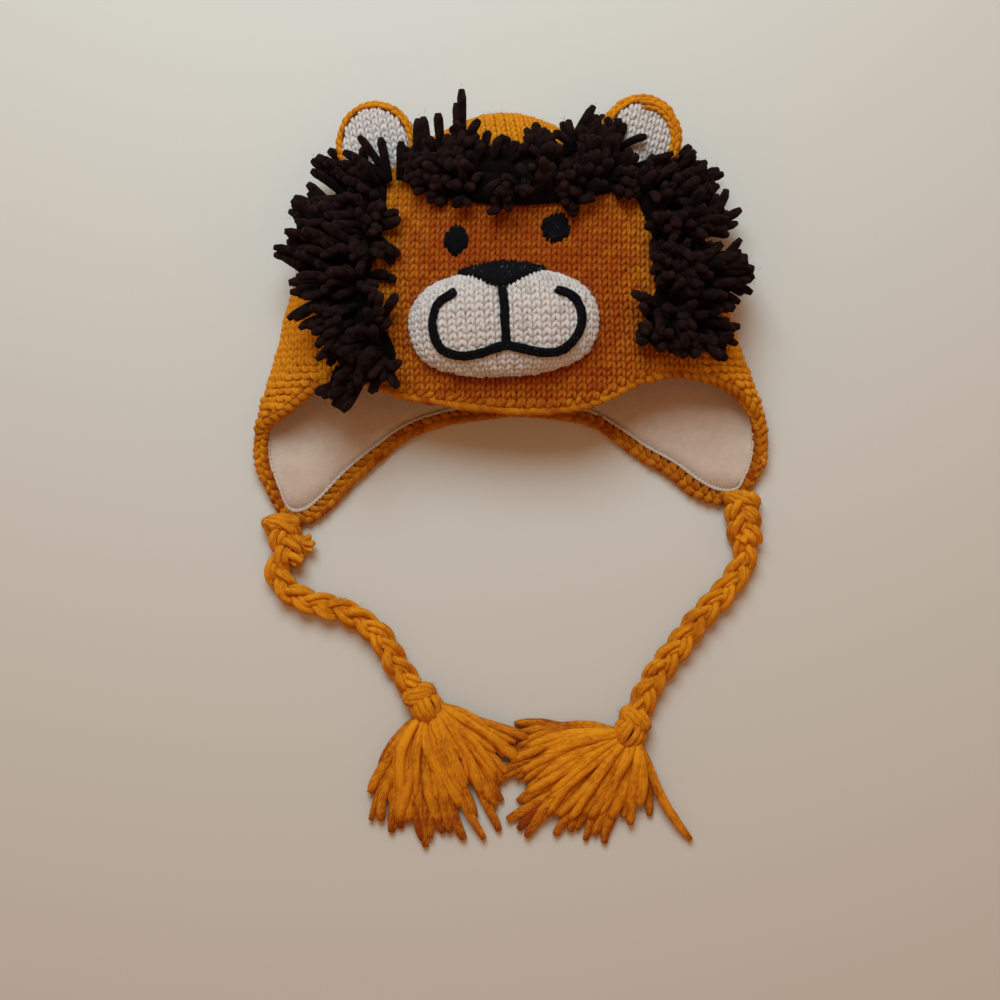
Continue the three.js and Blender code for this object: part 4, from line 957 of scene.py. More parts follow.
def bag_rings(depth, inset, columns, rows):
    """Rings of a bag whose wall lies this deep, from the crown's top to its lower edge.

    depth is a function of around and y."""
    t = np.arange(columns) / columns
    place = np.abs(4 * t - 2) / 2
    top = 2 * np.sign(t - 0.5) * (place + 0.55 / (2 * np.pi) * np.sin(2 * np.pi * place))
    edge_around, edge_at = edge_place(t, inset)
    rings = []
    for share in np.arange(1, rows + 1) / rows:
        around = top + (edge_around - top) * share ** 2
        y = TOP_Y - (TOP_Y - edge_at) * share ** 1.6
        depths = np.broadcast_to(depth(around, y), y.shape)
        rings.append(surface_point(around, y) - surface_normal(around, y) * depths[:, None])
    return np.array(rings)


BAG_COLUMNS = 132
BAG_ROWS = 34


def bag(name, outer_depth, inner_depth, inset, material):
    """A closed wall between two depths under the crown's surface, open at the lower edge."""
    aside, high = (float(section_at(np.array(TOP_Y))[k]) for k in (1, 2))
    depths = (outer_depth, inner_depth)
    outer, inner = (bag_rings(depth, inset, BAG_COLUMNS, BAG_ROWS) for depth in depths)
    rings = np.concatenate([outer, inner[::-1]])
    keep_over(rings, TABLE_GAP)
    first, last = (np.array([[aside, TOP_Y - depth(0.0, TOP_Y), high]]) for depth in depths)
    return ring_body(name, first, rings, last, material)


def even_depth(depth):
    """The depth as a function of around and y, the same everywhere."""
    return lambda around, y: depth


# The ground under the stitches: how deep its outer side lies and how far in it ends
GROUND_DEPTH = 1.5 * MM
GROUND_INSET = HEM_INSET - 1.2 * MM


def make_crown(yarn):
    ground = bag(
        "crown_ground", even_depth(GROUND_DEPTH), even_depth(KNIT_WALL), GROUND_INSET,
        MATERIALS["knit_ground"],
    )
    settle(ground, "knit_gold", "crown")
    rng = draws(yarn, "crown")
    s, r, y, around, middle, garter = crown_stitches(yarn)
    # The face takes the deep amber as painted shade, with a little random tone; the back has one tone.
    tones = face_shade(middle[:, 0], y) + rng.normal(0, 0.05, len(s))
    tones = np.where(np.abs(around) > 1, BACK_TONE, tones)
    width, height = yarn.stitch_width, yarn.stitch_height
    parts = (
        ("crown_knit_front", (np.abs(around) < BACK_AROUND) & ~garter, LEG, 5),
        ("crown_knit_back", (np.abs(around) >= BACK_AROUND) & ~garter, LEG, 3),
        ("crown_garter", garter, BUMP, 6),
    )
    for name, chosen, form, sides in parts:
        strands = Strands()
        knit(strands, crown_surface, s[chosen], r[chosen], width, height, rng, tones[chosen], sides, form)
        settle(strands.build(name, MATERIALS["knit_gold"]), "knit_gold")


# The lining

def fleece_depth(around, y):
    """The fleece's inner side: soft swells and a few creases."""
    around, y = np.broadcast_arrays(np.asarray(around, float), np.asarray(y, float))
    place = around * QUARTER_GIRTH
    swell = np.sin(place / 0.0075 + 1.3 * np.sin(y / 0.011)) * np.sin(y / 0.009 + 0.8)
    fold = np.exp(-((np.abs(place) - 0.142 - 0.55 * (y + 0.075)) / 0.0040) ** 2)
    crease = np.exp(-((np.abs(place) - 0.158 + 0.30 * (y + 0.080)) / 0.0030) ** 2)
    near_tip = np.clip((-0.062 - y) / 0.015, 0, 1)
    puff = np.exp(-((np.abs(place) - 0.150) / 0.010) ** 2 - ((y + 0.0765) / 0.0055) ** 2)
    relief = 0.40 * swell + 1.2 * fold * near_tip + 0.8 * crease * near_tip + 2.6 * puff
    return KNIT_WALL + LINING_GAP + LINING_WALL + relief * MM


# The hem: where its seam runs, its radius, and the number and radius of its stitches
SEAM_INSET = HEM_INSET + 0.5 * MM
HEM_RADIUS = 0.72 * MM
HEM_STITCHES = 260
THREAD_RADIUS = 0.26 * MM


def make_lining():
    lining = bag(
        "fleece_lining", even_depth(KNIT_WALL + LINING_GAP), fleece_depth, HEM_INSET,
        MATERIALS["fleece_cream"],
    )
    settle(lining, "fleece_cream", "lining")
    samples = np.linspace(0, 1, 361)
    around, y = edge_place(samples, SEAM_INSET)
    depth = fleece_depth(around, y) + 0.2 * MM
    normal = surface_normal(around, y)
    line = surface_point(around, y) - normal * depth[:, None]
    hem = Strands()
    wobble = 1 + 0.12 * np.sin(samples * 900) + 0.08 * np.sin(samples * 370)
    hem.add(line[None], HEM_RADIUS * wobble, -normal[None], sides=8, flat=0.75)
    # the hem's sewing: short slanting stitches of pale thread
    t = (np.arange(HEM_STITCHES) + 0.5) / HEM_STITCHES
    slant = np.array([-0.5, 0.0, 0.5])
    steps = t[:, None] + slant * 0.55 / HEM_STITCHES
    around, y = edge_place(steps, SEAM_INSET + slant * 2.2 * MM)
    depth = fleece_depth(around, y) + np.array([0.2, 1.0, 0.35]) * MM
    normal = surface_normal(around, y)
    hem.add(surface_point(around, y) - normal * depth[..., None], THREAD_RADIUS, -normal, sides=5)
    settle(hem.build("fleece_hem", MATERIALS["fleece_hem"]), "fleece_cream")


# The crocheted edging: chain links round the rim, with legs on both sides of the wall
LINKS = 132


def edging_point(t, inset, depth):
    """A point near the lower edge and the way straight out of the crown there."""
    around, y = edge_place(t % 1.0, inset)
    normal = surface_normal(around, y)
    return surface_point(around, y) - normal * np.asarray(depth)[..., None], normal


def edge_shares(count):
    """Shares of the lower edge that are even along it in space."""
    t = np.linspace(0, 1, 1200)
    around, y = edge_place(t, EDGING_WIDTH / 2)
    line = surface_point(around, y)
    run = running_length(line)
    return np.interp((np.arange(count) + 0.5) / count * run[-1], run, t)


# Forms of one link: along (in links), inset (shares of the edging's width), depth (mm from the outer
# side), thick (mm)
RIM_LOOP = np.array([
    (-0.62, 0.46, 1.6, 1.0), (-0.35, 0.34, 0.8, 1.6), (0.00, 0.27, 1.1, 1.9),
    (0.35, 0.25, 2.2, 1.8), (0.66, 0.36, 3.4, 1.1),
])
UNDER_LOOP = np.array([
    (-0.62, 0.42, 3.2, 1.0), (-0.35, 0.30, 4.1, 1.6), (0.00, 0.27, 4.2, 1.9),
    (0.35, 0.32, 3.2, 1.7), (0.66, 0.44, 1.9, 1.1),
])
OUTER_LEG = np.array([
    (-0.30, 0.52, 1.2, 1.0), (-0.12, 0.72, 0.5, 1.5), (0.10, 0.94, 0.6, 1.5), (0.25, 1.12, 1.5, 0.9),
])
INNER_LEG = np.array([
    (-0.42, 0.50, 3.7, 1.1), (-0.14, 0.70, 4.3, 1.6), (0.16, 0.92, 4.2, 1.6), (0.42, 1.15, 3.5, 1.1),
])


CORE_RADIUS = 2.35 * MM         # of the thick strand that fills the links


def make_edging(yarn):
    rng = draws(yarn, "edging")
    shares = edge_shares(LINKS)
    link = 1.0 / LINKS
    strands = Strands()
    for form, turn in ((RIM_LOOP, 0.0), (UNDER_LOOP, 0.5), (OUTER_LEG, 0.2), (INNER_LEG, 0.2)):
        jitter = rng.normal(0, 1, (LINKS, 2))
        t = shares[:, None] + (form[:, 0] + turn) * link
        inset = form[:, 1] * EDGING_WIDTH + 0.15 * MM * jitter[:, :1]
        depth = form[:, 2] * MM + 0.12 * MM * jitter[:, 1:]
        points, normal = edging_point(t, inset, depth)
        radii = form[:, 3] * MM * (1 + 0.05 * jitter[:, 1:])
        keep_over(points, radii + TABLE_GAP)
        tones = 0.30 + 0.12 * rng.normal(0, 1, LINKS)
        strands.add(points, radii, normal, sides=7, tones=tones)
    core = np.linspace(0, 1, 241)
    points, normal = edging_point(core, 0.6 * EDGING_WIDTH, np.full(core.shape, 2.5 * MM))
    keep_over(points, CORE_RADIUS + 0.05 * MM)
    strands.add(points[None], CORE_RADIUS, normal[None], sides=8, tones=0.35)
    settle(strands.build("edging_crochet", MATERIALS["crochet_gold"]), "crochet_gold", "edging")


# The muzzle

# How deep the pad and the middle of the cover's yarn lie under the muzzle's form, and its stitches' size
COVER_DEPTH = 1.9 * MM
COVER_YARN_DEPTH = 0.9 * MM
MUZZLE_STITCH = (4.1 * MM, 3.05 * MM)


def muzzle_rise(share, along):
    """How high the pad stands, by the share of the way to its outline and the place along it."""
    groove = LOBE_GROOVE * np.exp(-((along / LOBE_GROOVE_REACH) ** 2))
    dome = np.sqrt(np.maximum(1 - share ** MUZZLE_FULLNESS, 0))
    return MUZZLE_PAD * (MUZZLE_EDGE + (1 - MUZZLE_EDGE - groove) * dome)


def on_muzzle(along, up):
    """x and y of a place on the muzzle."""
    x, y = turned(along * MUZZLE_HALF[0], up * MUZZLE_HALF[1], MUZZLE_TURN)
    return MUZZLE_PLACE[0] + x, MUZZLE_PLACE[1] + y


def face_height(x, y):
    """Height of the crown or, where it covers the crown, the muzzle."""
    along, _, share = muzzle_shares(x, y)
    bare = crown_height(x, y)
    return np.where(share < 1, bare + CLEARANCE + muzzle_rise(np.minimum(share, 1), along), bare)


def height_normal(height, x, y):
    """The way straight out of a surface that a height stands for."""
    step = 0.5 * MM
    slope_x = (height(x + step, y) - height(x - step, y)) / (2 * step)
    slope_y = (height(x, y + step) - height(x, y - step)) / (2 * step)
    return unit(np.stack([-slope_x, -slope_y, np.ones_like(slope_x)], -1))


DOME_SHARES = np.linspace(0, 1, 40)


def pad_place(p, q):
    """Where a flat place on the muzzle's cover lies: shares along and up, once it is bent over the pad."""
    angle = np.arctan2(q / MUZZLE_HALF[1], p / MUZZLE_HALF[0])
    c, s = np.cos(angle), np.sin(angle)
    reach = oval_size(c, s, MUZZLE_POWER, -1)
    outline = np.hypot(reach * c * MUZZLE_HALF[0], reach * s * MUZZLE_HALF[1])
    drop = MUZZLE_PAD * np.sqrt(np.maximum(1 - DOME_SHARES ** MUZZLE_FULLNESS, 0))
    steps = np.hypot(outline[..., None] * np.diff(DOME_SHARES), np.diff(drop))
    run = np.concatenate([np.zeros(outline.shape + (1,)), np.cumsum(steps, -1)], -1)
    wanted = np.hypot(p, q)
    step, part = table_place(run, wanted)
    share = (step + np.clip(part, 0, 1)) / (len(DOME_SHARES) - 1)
    return share * reach * c, share * reach * s, wanted / run[..., -1]


def muzzle_surface(p, q, out):
    """A point by its flat place on the muzzle's cover and its distance out of the yarn's middle."""
    along, up, _ = pad_place(p, q)
    share = np.minimum(oval_size(along, up, MUZZLE_POWER), 1)
    x, y = on_muzzle(along, up)
    z = crown_height(x, y) + CLEARANCE + muzzle_rise(share, along)
    # straight up on the top of the pad, outwards at its edge
    lean = share ** 6
    angle = np.arctan2(up * MUZZLE_HALF[1], along * MUZZLE_HALF[0]) + MUZZLE_TURN
    normal = unit(np.stack([np.cos(angle) * lean * 1.4, np.sin(angle) * lean * 1.4, 1 - 0.6 * lean], -1))
    return np.stack([x, y, z], -1) + normal * (np.asarray(out) - COVER_YARN_DEPTH)[..., None]


def make_muzzle(yarn):
    rng = draws(yarn, "muzzle")
    angles = full_turn(96)
    c, s = np.cos(angles), np.sin(angles)
    reach = oval_size(c, s, MUZZLE_POWER, -1)
    rings = []
    for share, lift in [(0.97, 0.0)] + [(k, 1.0) for k in (0.985, 0.96, 0.9, 0.8, 0.65, 0.45, 0.2)]:
        x, y = on_muzzle(reach * c * share, reach * s * share)
        ground = crown_height(x, y) + CLEARANCE
        z = ground + lift * (muzzle_rise(share, reach * c * share) - COVER_DEPTH)
        rings.append(np.stack([x, y, z], -1))
    x, y = (np.array([v]) for v in on_muzzle(0.0, 0.0))
    low = np.stack([x, y, crown_height(x, y) + CLEARANCE], -1)
    high = low + np.array([0, 0, float(muzzle_rise(np.array(0.0), np.array(0.0))) - COVER_DEPTH])
    pad = ring_body("muzzle_pad", low, rings, high, MATERIALS["cream_ground"])
    settle(pad, "knit_cream", "muzzle")
    width, height = MUZZLE_STITCH
    p, q = grid(np.arange(-15, 16) * width, np.arange(-14, 15) * height)
    inside = pad_place(p, q)[2] < 1.0
    p, q = p[inside], q[inside]
    strands = Strands()
    tones = np.clip(0.12 + rng.normal(0, 0.10, len(p)) + 0.35 * (rng.random(len(p)) < 0.04), 0, 1)
    knit(strands, muzzle_surface, p, q, width, height, rng, tones, sides=6)
    FUZZ["cream"].append((muzzle_surface(p, q, np.full(len(p), 0.8 * MM)), COVER_YARN_DEPTH))
    cover = settle(strands.build("muzzle_knit", MATERIALS["knit_cream"]), "knit_cream")


# Nose, mouth and eyes

def satin(strands, outline, place, height, yarn, thick, rng, slant=0.0):
    """Side-by-side strands of embroidery that fill an outline, given as points about the place."""
    outline = np.asarray(outline)
    count = int(np.ceil(np.ptp(outline[:, 0]) / yarn))
    middles = outline[:, 0].min() + (np.arange(count) + 0.5) * np.ptp(outline[:, 0]) / count
    closed = np.vstack([outline, outline[:1]])
    shares = np.linspace(0, 1, 7)
    bulge = np.sqrt(np.maximum(1 - (2 * shares - 1) ** 2 * 0.96, 0))
    paths = []
    for x in middles:
        crossings = []
        for (x0, y0), (x1, y1) in zip(closed[:-1], closed[1:]):
            if x0 != x1 and (x0 - x) * (x1 - x) <= 0:
                crossings.append(y0 + (y1 - y0) * (x - x0) / (x1 - x0))
        low, high = min(crossings), max(crossings)
        low += rng.normal(0, 0.25 * MM)
        high += rng.normal(0, 0.25 * MM)
        y = low + (high - low) * shares
        across = x + slant * (y - y.mean())
        at_x, at_y = place(across, y)
        paths.append(np.stack([at_x, at_y, height(at_x, at_y) + thick * bulge], -1))
    paths = np.array(paths)
    radii = yarn * 0.70 * np.array([0.5, 0.95, 1, 1, 1, 0.95, 0.5])
    strands.add(paths, radii, (0, 0, 1.0), sides=7, tones=0.5 + rng.normal(0, 0.15, len(paths)))


def nose_height(x, y):
    """Height under the nose, evened out over the muzzle's edge."""
    reaches = np.array([-0.5, -0.25, 0, 0.25, 0.5]) * NOSE_HALF[1]
    heights = np.stack([face_height(x, y + k) for k in reaches])
    return np.maximum(face_height(x, y), heights.mean(0)) + CLEARANCE


def make_nose(yarn):
    rng = draws(yarn, "nose")
    outline = smooth_line(np.array(NOSE_OUTLINE + NOSE_OUTLINE[:1]) * NOSE_HALF, np.linspace(0, 1, 90))[:-1]

    def place(x, y):
        return on_muzzle(x / MUZZLE_HALF[0], NOSE_UP + y / MUZZLE_HALF[1])

    strands = Strands()
    satin(strands, outline, place, nose_height, NOSE_YARNS[0], NOSE_THICK * 0.45, rng, slant=0.06)
    satin(strands, outline * 0.92, place, nose_height, NOSE_YARNS[1], NOSE_THICK * 0.12, rng, slant=-0.1)
    settle(strands.build("nose_satin", MATERIALS["yarn_black"]), "yarn_black", "nose")


ROPE_SLANT = 0.16               # how far a stem stitch leads aside, in shares of its length
# The mouth's stem stitches: distance, length, radius of the yarn, distance of its two ropes
MOUTH_PITCH = 3.0 * MM
MOUTH_LONG = 6.5 * MM
MOUTH_RADIUS = 1.25 * MM
MOUTH_ROPES = 1.3 * MM


def rope(strands, line, height, pitch, long, radius, rng):
    """Stem stitch along a line on the face: overlapping slanting stitches."""
    line = np.asarray(line)
    length = length_of(line)
    count = max(int(length / pitch), 2)
    t = (np.arange(count) + 0.5) / count
    form = np.linspace(-0.5, 0.5, 7)
    shares = np.clip(t[:, None] + form * long / length, 0, 1)
    run = np.linspace(0, 1, len(line))
    at = np.stack([np.interp(shares, run, line[:, k]) for k in range(2)], -1)
    tangent = unit(np.gradient(line, axis=0))
    way = np.stack([np.interp(shares, run, tangent[:, k]) for k in range(2)], -1)
    at = at + left_of(way) * (form * ROPE_SLANT * long)[:, None] + rng.normal(0, 0.12 * MM, (count, 1, 2))
    z = height(at[..., 0], at[..., 1]) + radius * (0.5 + 0.55 * np.cos(form * np.pi))
    paths = np.concatenate([at, z[..., None]], -1)
    radii = radius * np.array([0.55, 0.9, 1, 1.05, 1, 0.9, 0.55])
    strands.add(paths, radii, (0, 0, 1.0), sides=8, tones=0.5 + rng.normal(0, 0.18, count))


def make_mouth(yarn):
    rng = draws(yarn, "mouth")
    strands = Strands()
    for rows in (MOUTH_LINE, MOUTH_STEM):
        flat = smooth_line(np.array(rows), np.linspace(0, 1, 160))
        line = np.stack(on_muzzle(flat[:, 0], flat[:, 1]), -1)
        aside = left_of(unit(np.gradient(line, axis=0)))
        for side in (-0.5, 0.5):
            beside = line + aside * side * MOUTH_ROPES
            rope(strands, beside, face_height, MOUTH_PITCH, MOUTH_LONG, MOUTH_RADIUS, rng)
    settle(strands.build("mouth_yarn", MATERIALS["yarn_black"]), "yarn_black", "mouth")


def make_eyes(yarn):
    rng = draws(yarn, "eyes")
    angles = full_turn(60)
    for name, x, y, turn, wide, power in EYES:
        c, s = np.cos(angles), np.sin(angles)
        reach = oval_size(c, s, power, -1)
        outline = np.stack([reach * s * EYE_HALF[1] * wide, reach * c * EYE_HALF[0]], -1)
        centre = (MUZZLE_PLACE[0] + x * 2 * MUZZLE_HALF[0], MUZZLE_PLACE[1] + y * 2 * MUZZLE_HALF[0])
        spin = turn - math.pi / 2

        def place(u, v, centre=centre, spin=spin):
            u, v = turned(u, v, spin)
            return centre[0] + u, centre[1] + v

        strands = Strands()
        satin(strands, outline, place, crown_height, EYE_YARNS[0], EYE_THICK * 0.5, rng)
        inner = outline * 0.85
        satin(strands, inner, place, crown_height, EYE_YARNS[1], EYE_THICK * 0.1, rng, slant=0.15)
        piece = strands.build(f"eye_{name}_satin", MATERIALS["yarn_black"])
        settle(piece, "yarn_black", f"eye_{name}")


# The ears

def ear_point(ear, u, v, h):
    """A point of an ear from its place on the ear's disc and its height over it."""
    _, x, y, high, spin, nod, lean, wide, long = ear
    u, v, h = np.broadcast_arrays(np.asarray(u) * wide, np.asarray(v) * long, np.asarray(h))
    v, h = turned(v, h, nod)
    u, h = turned(u, h, -lean)
    u, v = turned(u, v, spin)
    place = (x * HAT_WIDTH / 2, y * CROWN_LENGTH, high * CROWN_HEIGHT)
    return np.stack([u + place[0], v + place[1], h + place[2]], -1)


# Half section of the ear's back and rim: out (share of the ear's half), rim (share of the rim),
# up (share of the thickness)
EAR_SECTION = np.array([
    (0.45, 0.00, -0.44), (0.80, 0.00, -0.38), (0.94, 0.00, -0.26), (0.97, 0.00, -0.08),
    (0.97, 0.00, 0.12), (0.96, -0.20, 0.22), (0.96, -0.50, 0.20), (0.96, -0.70, 0.02),
])
# Rows of stitches over the rim: the same columns, for the middle of each row
RIM_ROWS = np.array([(0.97, 0.00, -0.20), (0.97, 0.00, 0.04), (0.965, -0.20, 0.24)])
# The right ear's rim is folded over its face between these angles, by these rows
FOLD_ANGLES = (-0.35, 1.9)
FOLD_ROWS = np.array([(0.90, -0.20, 0.36), (0.80, -0.20, 0.40)])


def ear_ring(ear, row, angles):
    """The points of one ring of the ear's back and rim."""
    out, rim, up = row
    radius = out * EAR_HALF + rim * EAR_RIM
    return ear_point(ear, radius * np.cos(angles), radius * np.sin(angles), up * EAR_THICK)


EAR_FACE_RADIUS = EAR_HALF - EAR_FACE_INSET
EAR_COVER_DEPTH = 1.0 * MM      # how deep the face's pad lies under the face's form
EAR_STITCH = (3.6 * MM, 2.8 * MM)
RIM_STITCH = 3.4 * MM


def ear_front_height(radius):
    """Height of the ear's face over the ear's disc."""
    share = np.clip(radius / EAR_FACE_RADIUS, 0, 1)
    return EAR_THICK * (0.16 + 0.24 * np.sqrt(np.maximum(1 - share ** 2.2, 0)))


def add_rim_row(strands, ear, row, number, rng):
    """One row of stitches over an ear's rim. The rows after the rim's own lie on its fold."""
    radius = row[0] * EAR_HALF + row[1] * EAR_RIM
    count = int(2 * np.pi * radius * 1.1 / RIM_STITCH)
    middle = 2 * np.pi * (np.arange(count) + 0.5 * (number % 2)) / count
    if number >= len(RIM_ROWS):
        middle = np.angle(np.exp(1j * middle))
        middle = middle[(middle > FOLD_ANGLES[0]) & (middle < FOLD_ANGLES[1])]
    form = np.linspace(-0.75, 0.75, 5)
    jitter = rng.normal(0, 1, (len(middle), 1))
    around = middle[:, None] + form * 2 * np.pi / count
    lean = form * 0.55 * (1 if number % 2 else -1)
    reach = radius + lean * MM + 0.12 * MM * jitter
    swell = np.array([-0.7, 0.25, 0.5, 0.25, -0.7]) * MM
    up = row[2] * EAR_THICK + swell * (0.3 + 0.7 * (row[2] > 0.2)) + 0.1 * MM * jitter
    reach = reach + swell * (row[2] < 0.2)
    paths = ear_point(ear, reach * np.cos(around), reach * np.sin(around), up)
    outward = ear_point(ear, (reach + 1) * np.cos(around), (reach + 1) * np.sin(around), up + 1)
    radii = 1.0 * MM * np.array([0.6, 1.0, 1.1, 1.0, 0.6])
    tones = 0.1 + rng.normal(0, 0.08, len(middle))
    strands.add(paths, radii, unit(outward - paths), sides=6, tones=tones)


def make_ears(yarn):
    rng = draws(yarn, "ears")
    for ear in EARS:
        name = ear[0]
        rings = [ear_ring(ear, row, full_turn(64)) for row in EAR_SECTION]
        tips = [ear_point(ear, np.zeros(1), np.zeros(1), up * EAR_THICK) for up in (-0.46, 0.0)]
        back = ring_body(f"ear_{name}_ground", tips[0], rings, tips[1], MATERIALS["knit_ground"])
        settle(back, "knit_gold", f"ear_{name}_back")
        strands = Strands()
        rows = np.vstack([RIM_ROWS, FOLD_ROWS]) if name == "right" else RIM_ROWS
        for number, row in enumerate(rows):
            add_rim_row(strands, ear, row, number, rng)
        settle(strands.build(f"ear_{name}_rim", MATERIALS["knit_gold"]), "knit_gold")
        make_ear_front(ear, rng)


def make_ear_front(ear, rng):
    name = ear[0]
    angles = full_turn(48)
    rings = []
    for share, lift in [(0.98, 0.0), (0.98, 1.0), (0.85, 1.0), (0.6, 1.0), (0.3, 1.0)]:
        radius = EAR_FACE_RADIUS * share
        height = CLEARANCE + lift * (ear_front_height(radius) - CLEARANCE - EAR_COVER_DEPTH)
        rings.append(ear_point(ear, radius * np.cos(angles), radius * np.sin(angles), height))
    tips = [
        ear_point(ear, np.zeros(1), np.zeros(1), CLEARANCE),
        ear_point(ear, np.zeros(1), np.zeros(1), float(ear_front_height(0.0)) - EAR_COVER_DEPTH),
    ]
    base = ring_body(f"ear_{name}_pad", tips[0], rings, tips[1], MATERIALS["cream_ground"])
    settle(base, "knit_cream", f"ear_{name}_front")
    width, height = EAR_STITCH
    u, v = grid(np.arange(-5, 6) * width, np.arange(-7, 8) * height)
    inside = np.hypot(u, v) < EAR_FACE_RADIUS - CLEARANCE
    u, v = u[inside], v[inside]

    def surface(p, q, out):
        over = ear_front_height(np.hypot(p, q)) - 0.4 * MM + np.asarray(out)
        return ear_point(ear, p, q, over)

    strands = Strands()
    tones = np.clip(0.08 + rng.normal(0, 0.08, len(u)), 0, 1)
    knit(strands, surface, u, v, width, height, rng, tones, sides=5)
    settle(strands.build(f"ear_{name}_knit", MATERIALS["knit_cream"]), "knit_cream")


# The mane: yarn ends that stand and fan out from a band on the crown

# name: number of ends, the side of its line that looks away from the face, length share, shift aside
MANES = {
    "left": (300, -1.0, 1.02, 0.0),
    "top": (280, 1.0, 0.80, 0.0),
    "right": (320, 1.0, 1.04, -3.2 * MM),
}
# Where the top mane's far side lies low: its share of the line, half the width of the dip, how low
TOP_DIP = (0.46, 0.15, 0.48)
ENDS_A_TUFT = 4
MANE_STEPS = 9                  # points along each end
# Ends from the side by the face (-0.5) to the far side (0.5): place, lean from upright, length share
MANE_LEAN = np.array([(-0.5, -0.30, 0.55), (-0.25, 0.02, 0.78), (0.1, 0.42, 0.92), (0.5, 0.95, 0.72)])
# Single ends that stick out at the top: x, y, heading in degrees, length
MANE_STRAYS = [
    (-0.0215, 0.0600, 89, 0.029), (-0.0225, 0.0590, 94, 0.024), (-0.0410, 0.0560, 93, 0.021),
    (-0.0360, 0.0580, 96, 0.020), (-0.0300, 0.0590, 98, 0.020), (0.0240, 0.0610, 60, 0.025),
    (0.0320, 0.0600, 66, 0.018), (0.0360, 0.0570, 62, 0.019), (0.0390, 0.0560, 55, 0.017),
    (-0.0540, 0.0500, 142, 0.024), (-0.0540, 0.0510, 122, 0.023), (-0.0540, 0.0500, 99, 0.020),
    (-0.0490, 0.0500, 87, 0.017), (0.0500, 0.0550, 14, 0.024), (0.0480, 0.0530, 4, 0.026),
]


def bent_paths(start, way, length, bend, steps):
    """Paths that leave the start along a way and bend steadily: each step turns towards bend."""
    points = [start]
    direction = unit(way)
    for _ in range(steps - 1):
        points.append(points[-1] + direction * (length / (steps - 1))[:, None])
        direction = unit(direction + bend / (steps - 1))
    return np.stack(points, 1)


def mane_frame(name, share):
    """Centre, along and aside of a mane's line: aside looks away from the face."""
    outer = MANES[name][1]
    centre = mane_curve(name, share)
    ahead = mane_curve(name, np.minimum(share + 0.01, 1))
    behind = mane_curve(name, np.maximum(share - 0.01, 0))
    along = unit(ahead - behind)
    return centre, along, left_of(along) * outer


def mane_ends(name, yarn, rng):
    """Paths of a bunch's ends: they stand in tufts, and each tuft leans, sways and reaches its own way."""
    count, _, longer, shift = MANES[name]
    tufts = count // ENDS_A_TUFT
    tuft = rng.integers(0, tufts, count)
    share = np.clip(rng.random(tufts)[tuft] + rng.normal(0, 0.018, count), 0, 1)
    across = np.clip(rng.uniform(-0.44, 0.44, tufts)[tuft] + rng.normal(0, 0.06, count), -0.46, 0.46)
    low = np.zeros(count)
    if name == "top":
        dip_place, dip_half, dip_depth = TOP_DIP
        low = dip_depth * np.exp(-(((share - dip_place) / dip_half) ** 2)) * (across > 0)
    across = across * (1 - low)
    centre, along, aside = mane_frame(name, share)
    root = centre + aside * (across * MANE_BAND + shift)[:, None]
    normal = height_normal(crown_height, root[:, 0], root[:, 1])
    pile = rng.uniform(0.5, 5.0, count) * MM * (1 - 2 * across ** 2)
    start = np.column_stack([root, crown_height(root[:, 0], root[:, 1]) + pile])
    lean = np.interp(across, MANE_LEAN[:, 0], MANE_LEAN[:, 1])
    lean = lean + rng.normal(0, 0.24, tufts)[tuft] + rng.normal(0, 0.13, count)
    sway = 0.9 * (share - 0.5) + rng.normal(0, 0.38, tufts)[tuft] + rng.normal(0, 0.16, count)
    flat_aside = np.column_stack([aside, np.zeros(count)])
    flat_along = np.column_stack([along, np.zeros(count)])
    way = (
        normal * np.cos(lean)[:, None] + flat_aside * np.sin(lean)[:, None]
        + flat_along * (sway * (0.35 + 0.65 * np.abs(np.sin(lean))))[:, None]
    )
    reach = np.interp(across, MANE_LEAN[:, 0], MANE_LEAN[:, 2])
    reach = reach * np.interp(share, [0, 0.28, 0.8, 1], [0.66, 1.0, 1.0, 0.84]) * (1 - low)
    length = yarn.mane_length * longer * reach
    length = length * rng.uniform(0.78, 1.22, tufts)[tuft] * rng.uniform(0.85, 1.15, count)
    bend = flat_aside * (0.35 * np.sign(lean))[:, None] + rng.normal(0, 0.48, (count, 3))
    bend[:, 2] -= 0.55
    return bent_paths(start, way, length, bend, MANE_STEPS)


def mane_strays(rng):
    """Paths of the single ends that stick out at the top."""
    rows = np.array(MANE_STRAYS)
    start = np.column_stack([rows[:, :2], crown_height(rows[:, 0], rows[:, 1]) + 5 * MM])
    heading = np.radians(rows[:, 2])
    way = np.column_stack([np.cos(heading), np.sin(heading), 0.25 + 0 * heading])
    bend = rng.normal(0, 0.12, (len(rows), 3))
    bend[:, 2] -= 0.35
    return bent_paths(start, way, rows[:, 3], bend, MANE_STEPS)


def lay_on_crown(paths, radius):
    """Lifts what would lie in the crown or the table onto it."""
    ground = crown_height(paths[..., 0], paths[..., 1])
    over = np.abs(paths[..., 0]) < section_at(paths[..., 1])[0] * 0.98
    keep_over(paths, np.where(over, ground + radius * 0.9, radius))


def add_mane_base(strands, name):
    """The pile under the ends, all in the deep brown: painted shade under the ends."""
    share = np.linspace(0, 1, 40)
    centre, _, aside = mane_frame(name, share)
    taper = np.sqrt(np.maximum(1 - np.abs(2 * share - 1) ** 6, 0.02))
    for across in (-0.30, -0.10, 0.10, 0.30):
        place = centre + aside * (across * MANE_BAND + MANES[name][3])
        height = crown_height(place[:, 0], place[:, 1]) + 2.2 * MM
        normal = height_normal(crown_height, place[:, 0], place[:, 1])
        path = np.column_stack([place, height])
        strands.add(path[None], (4.4 * MM * taper)[None], normal[None], sides=10, flat=0.8, tones=1.0)


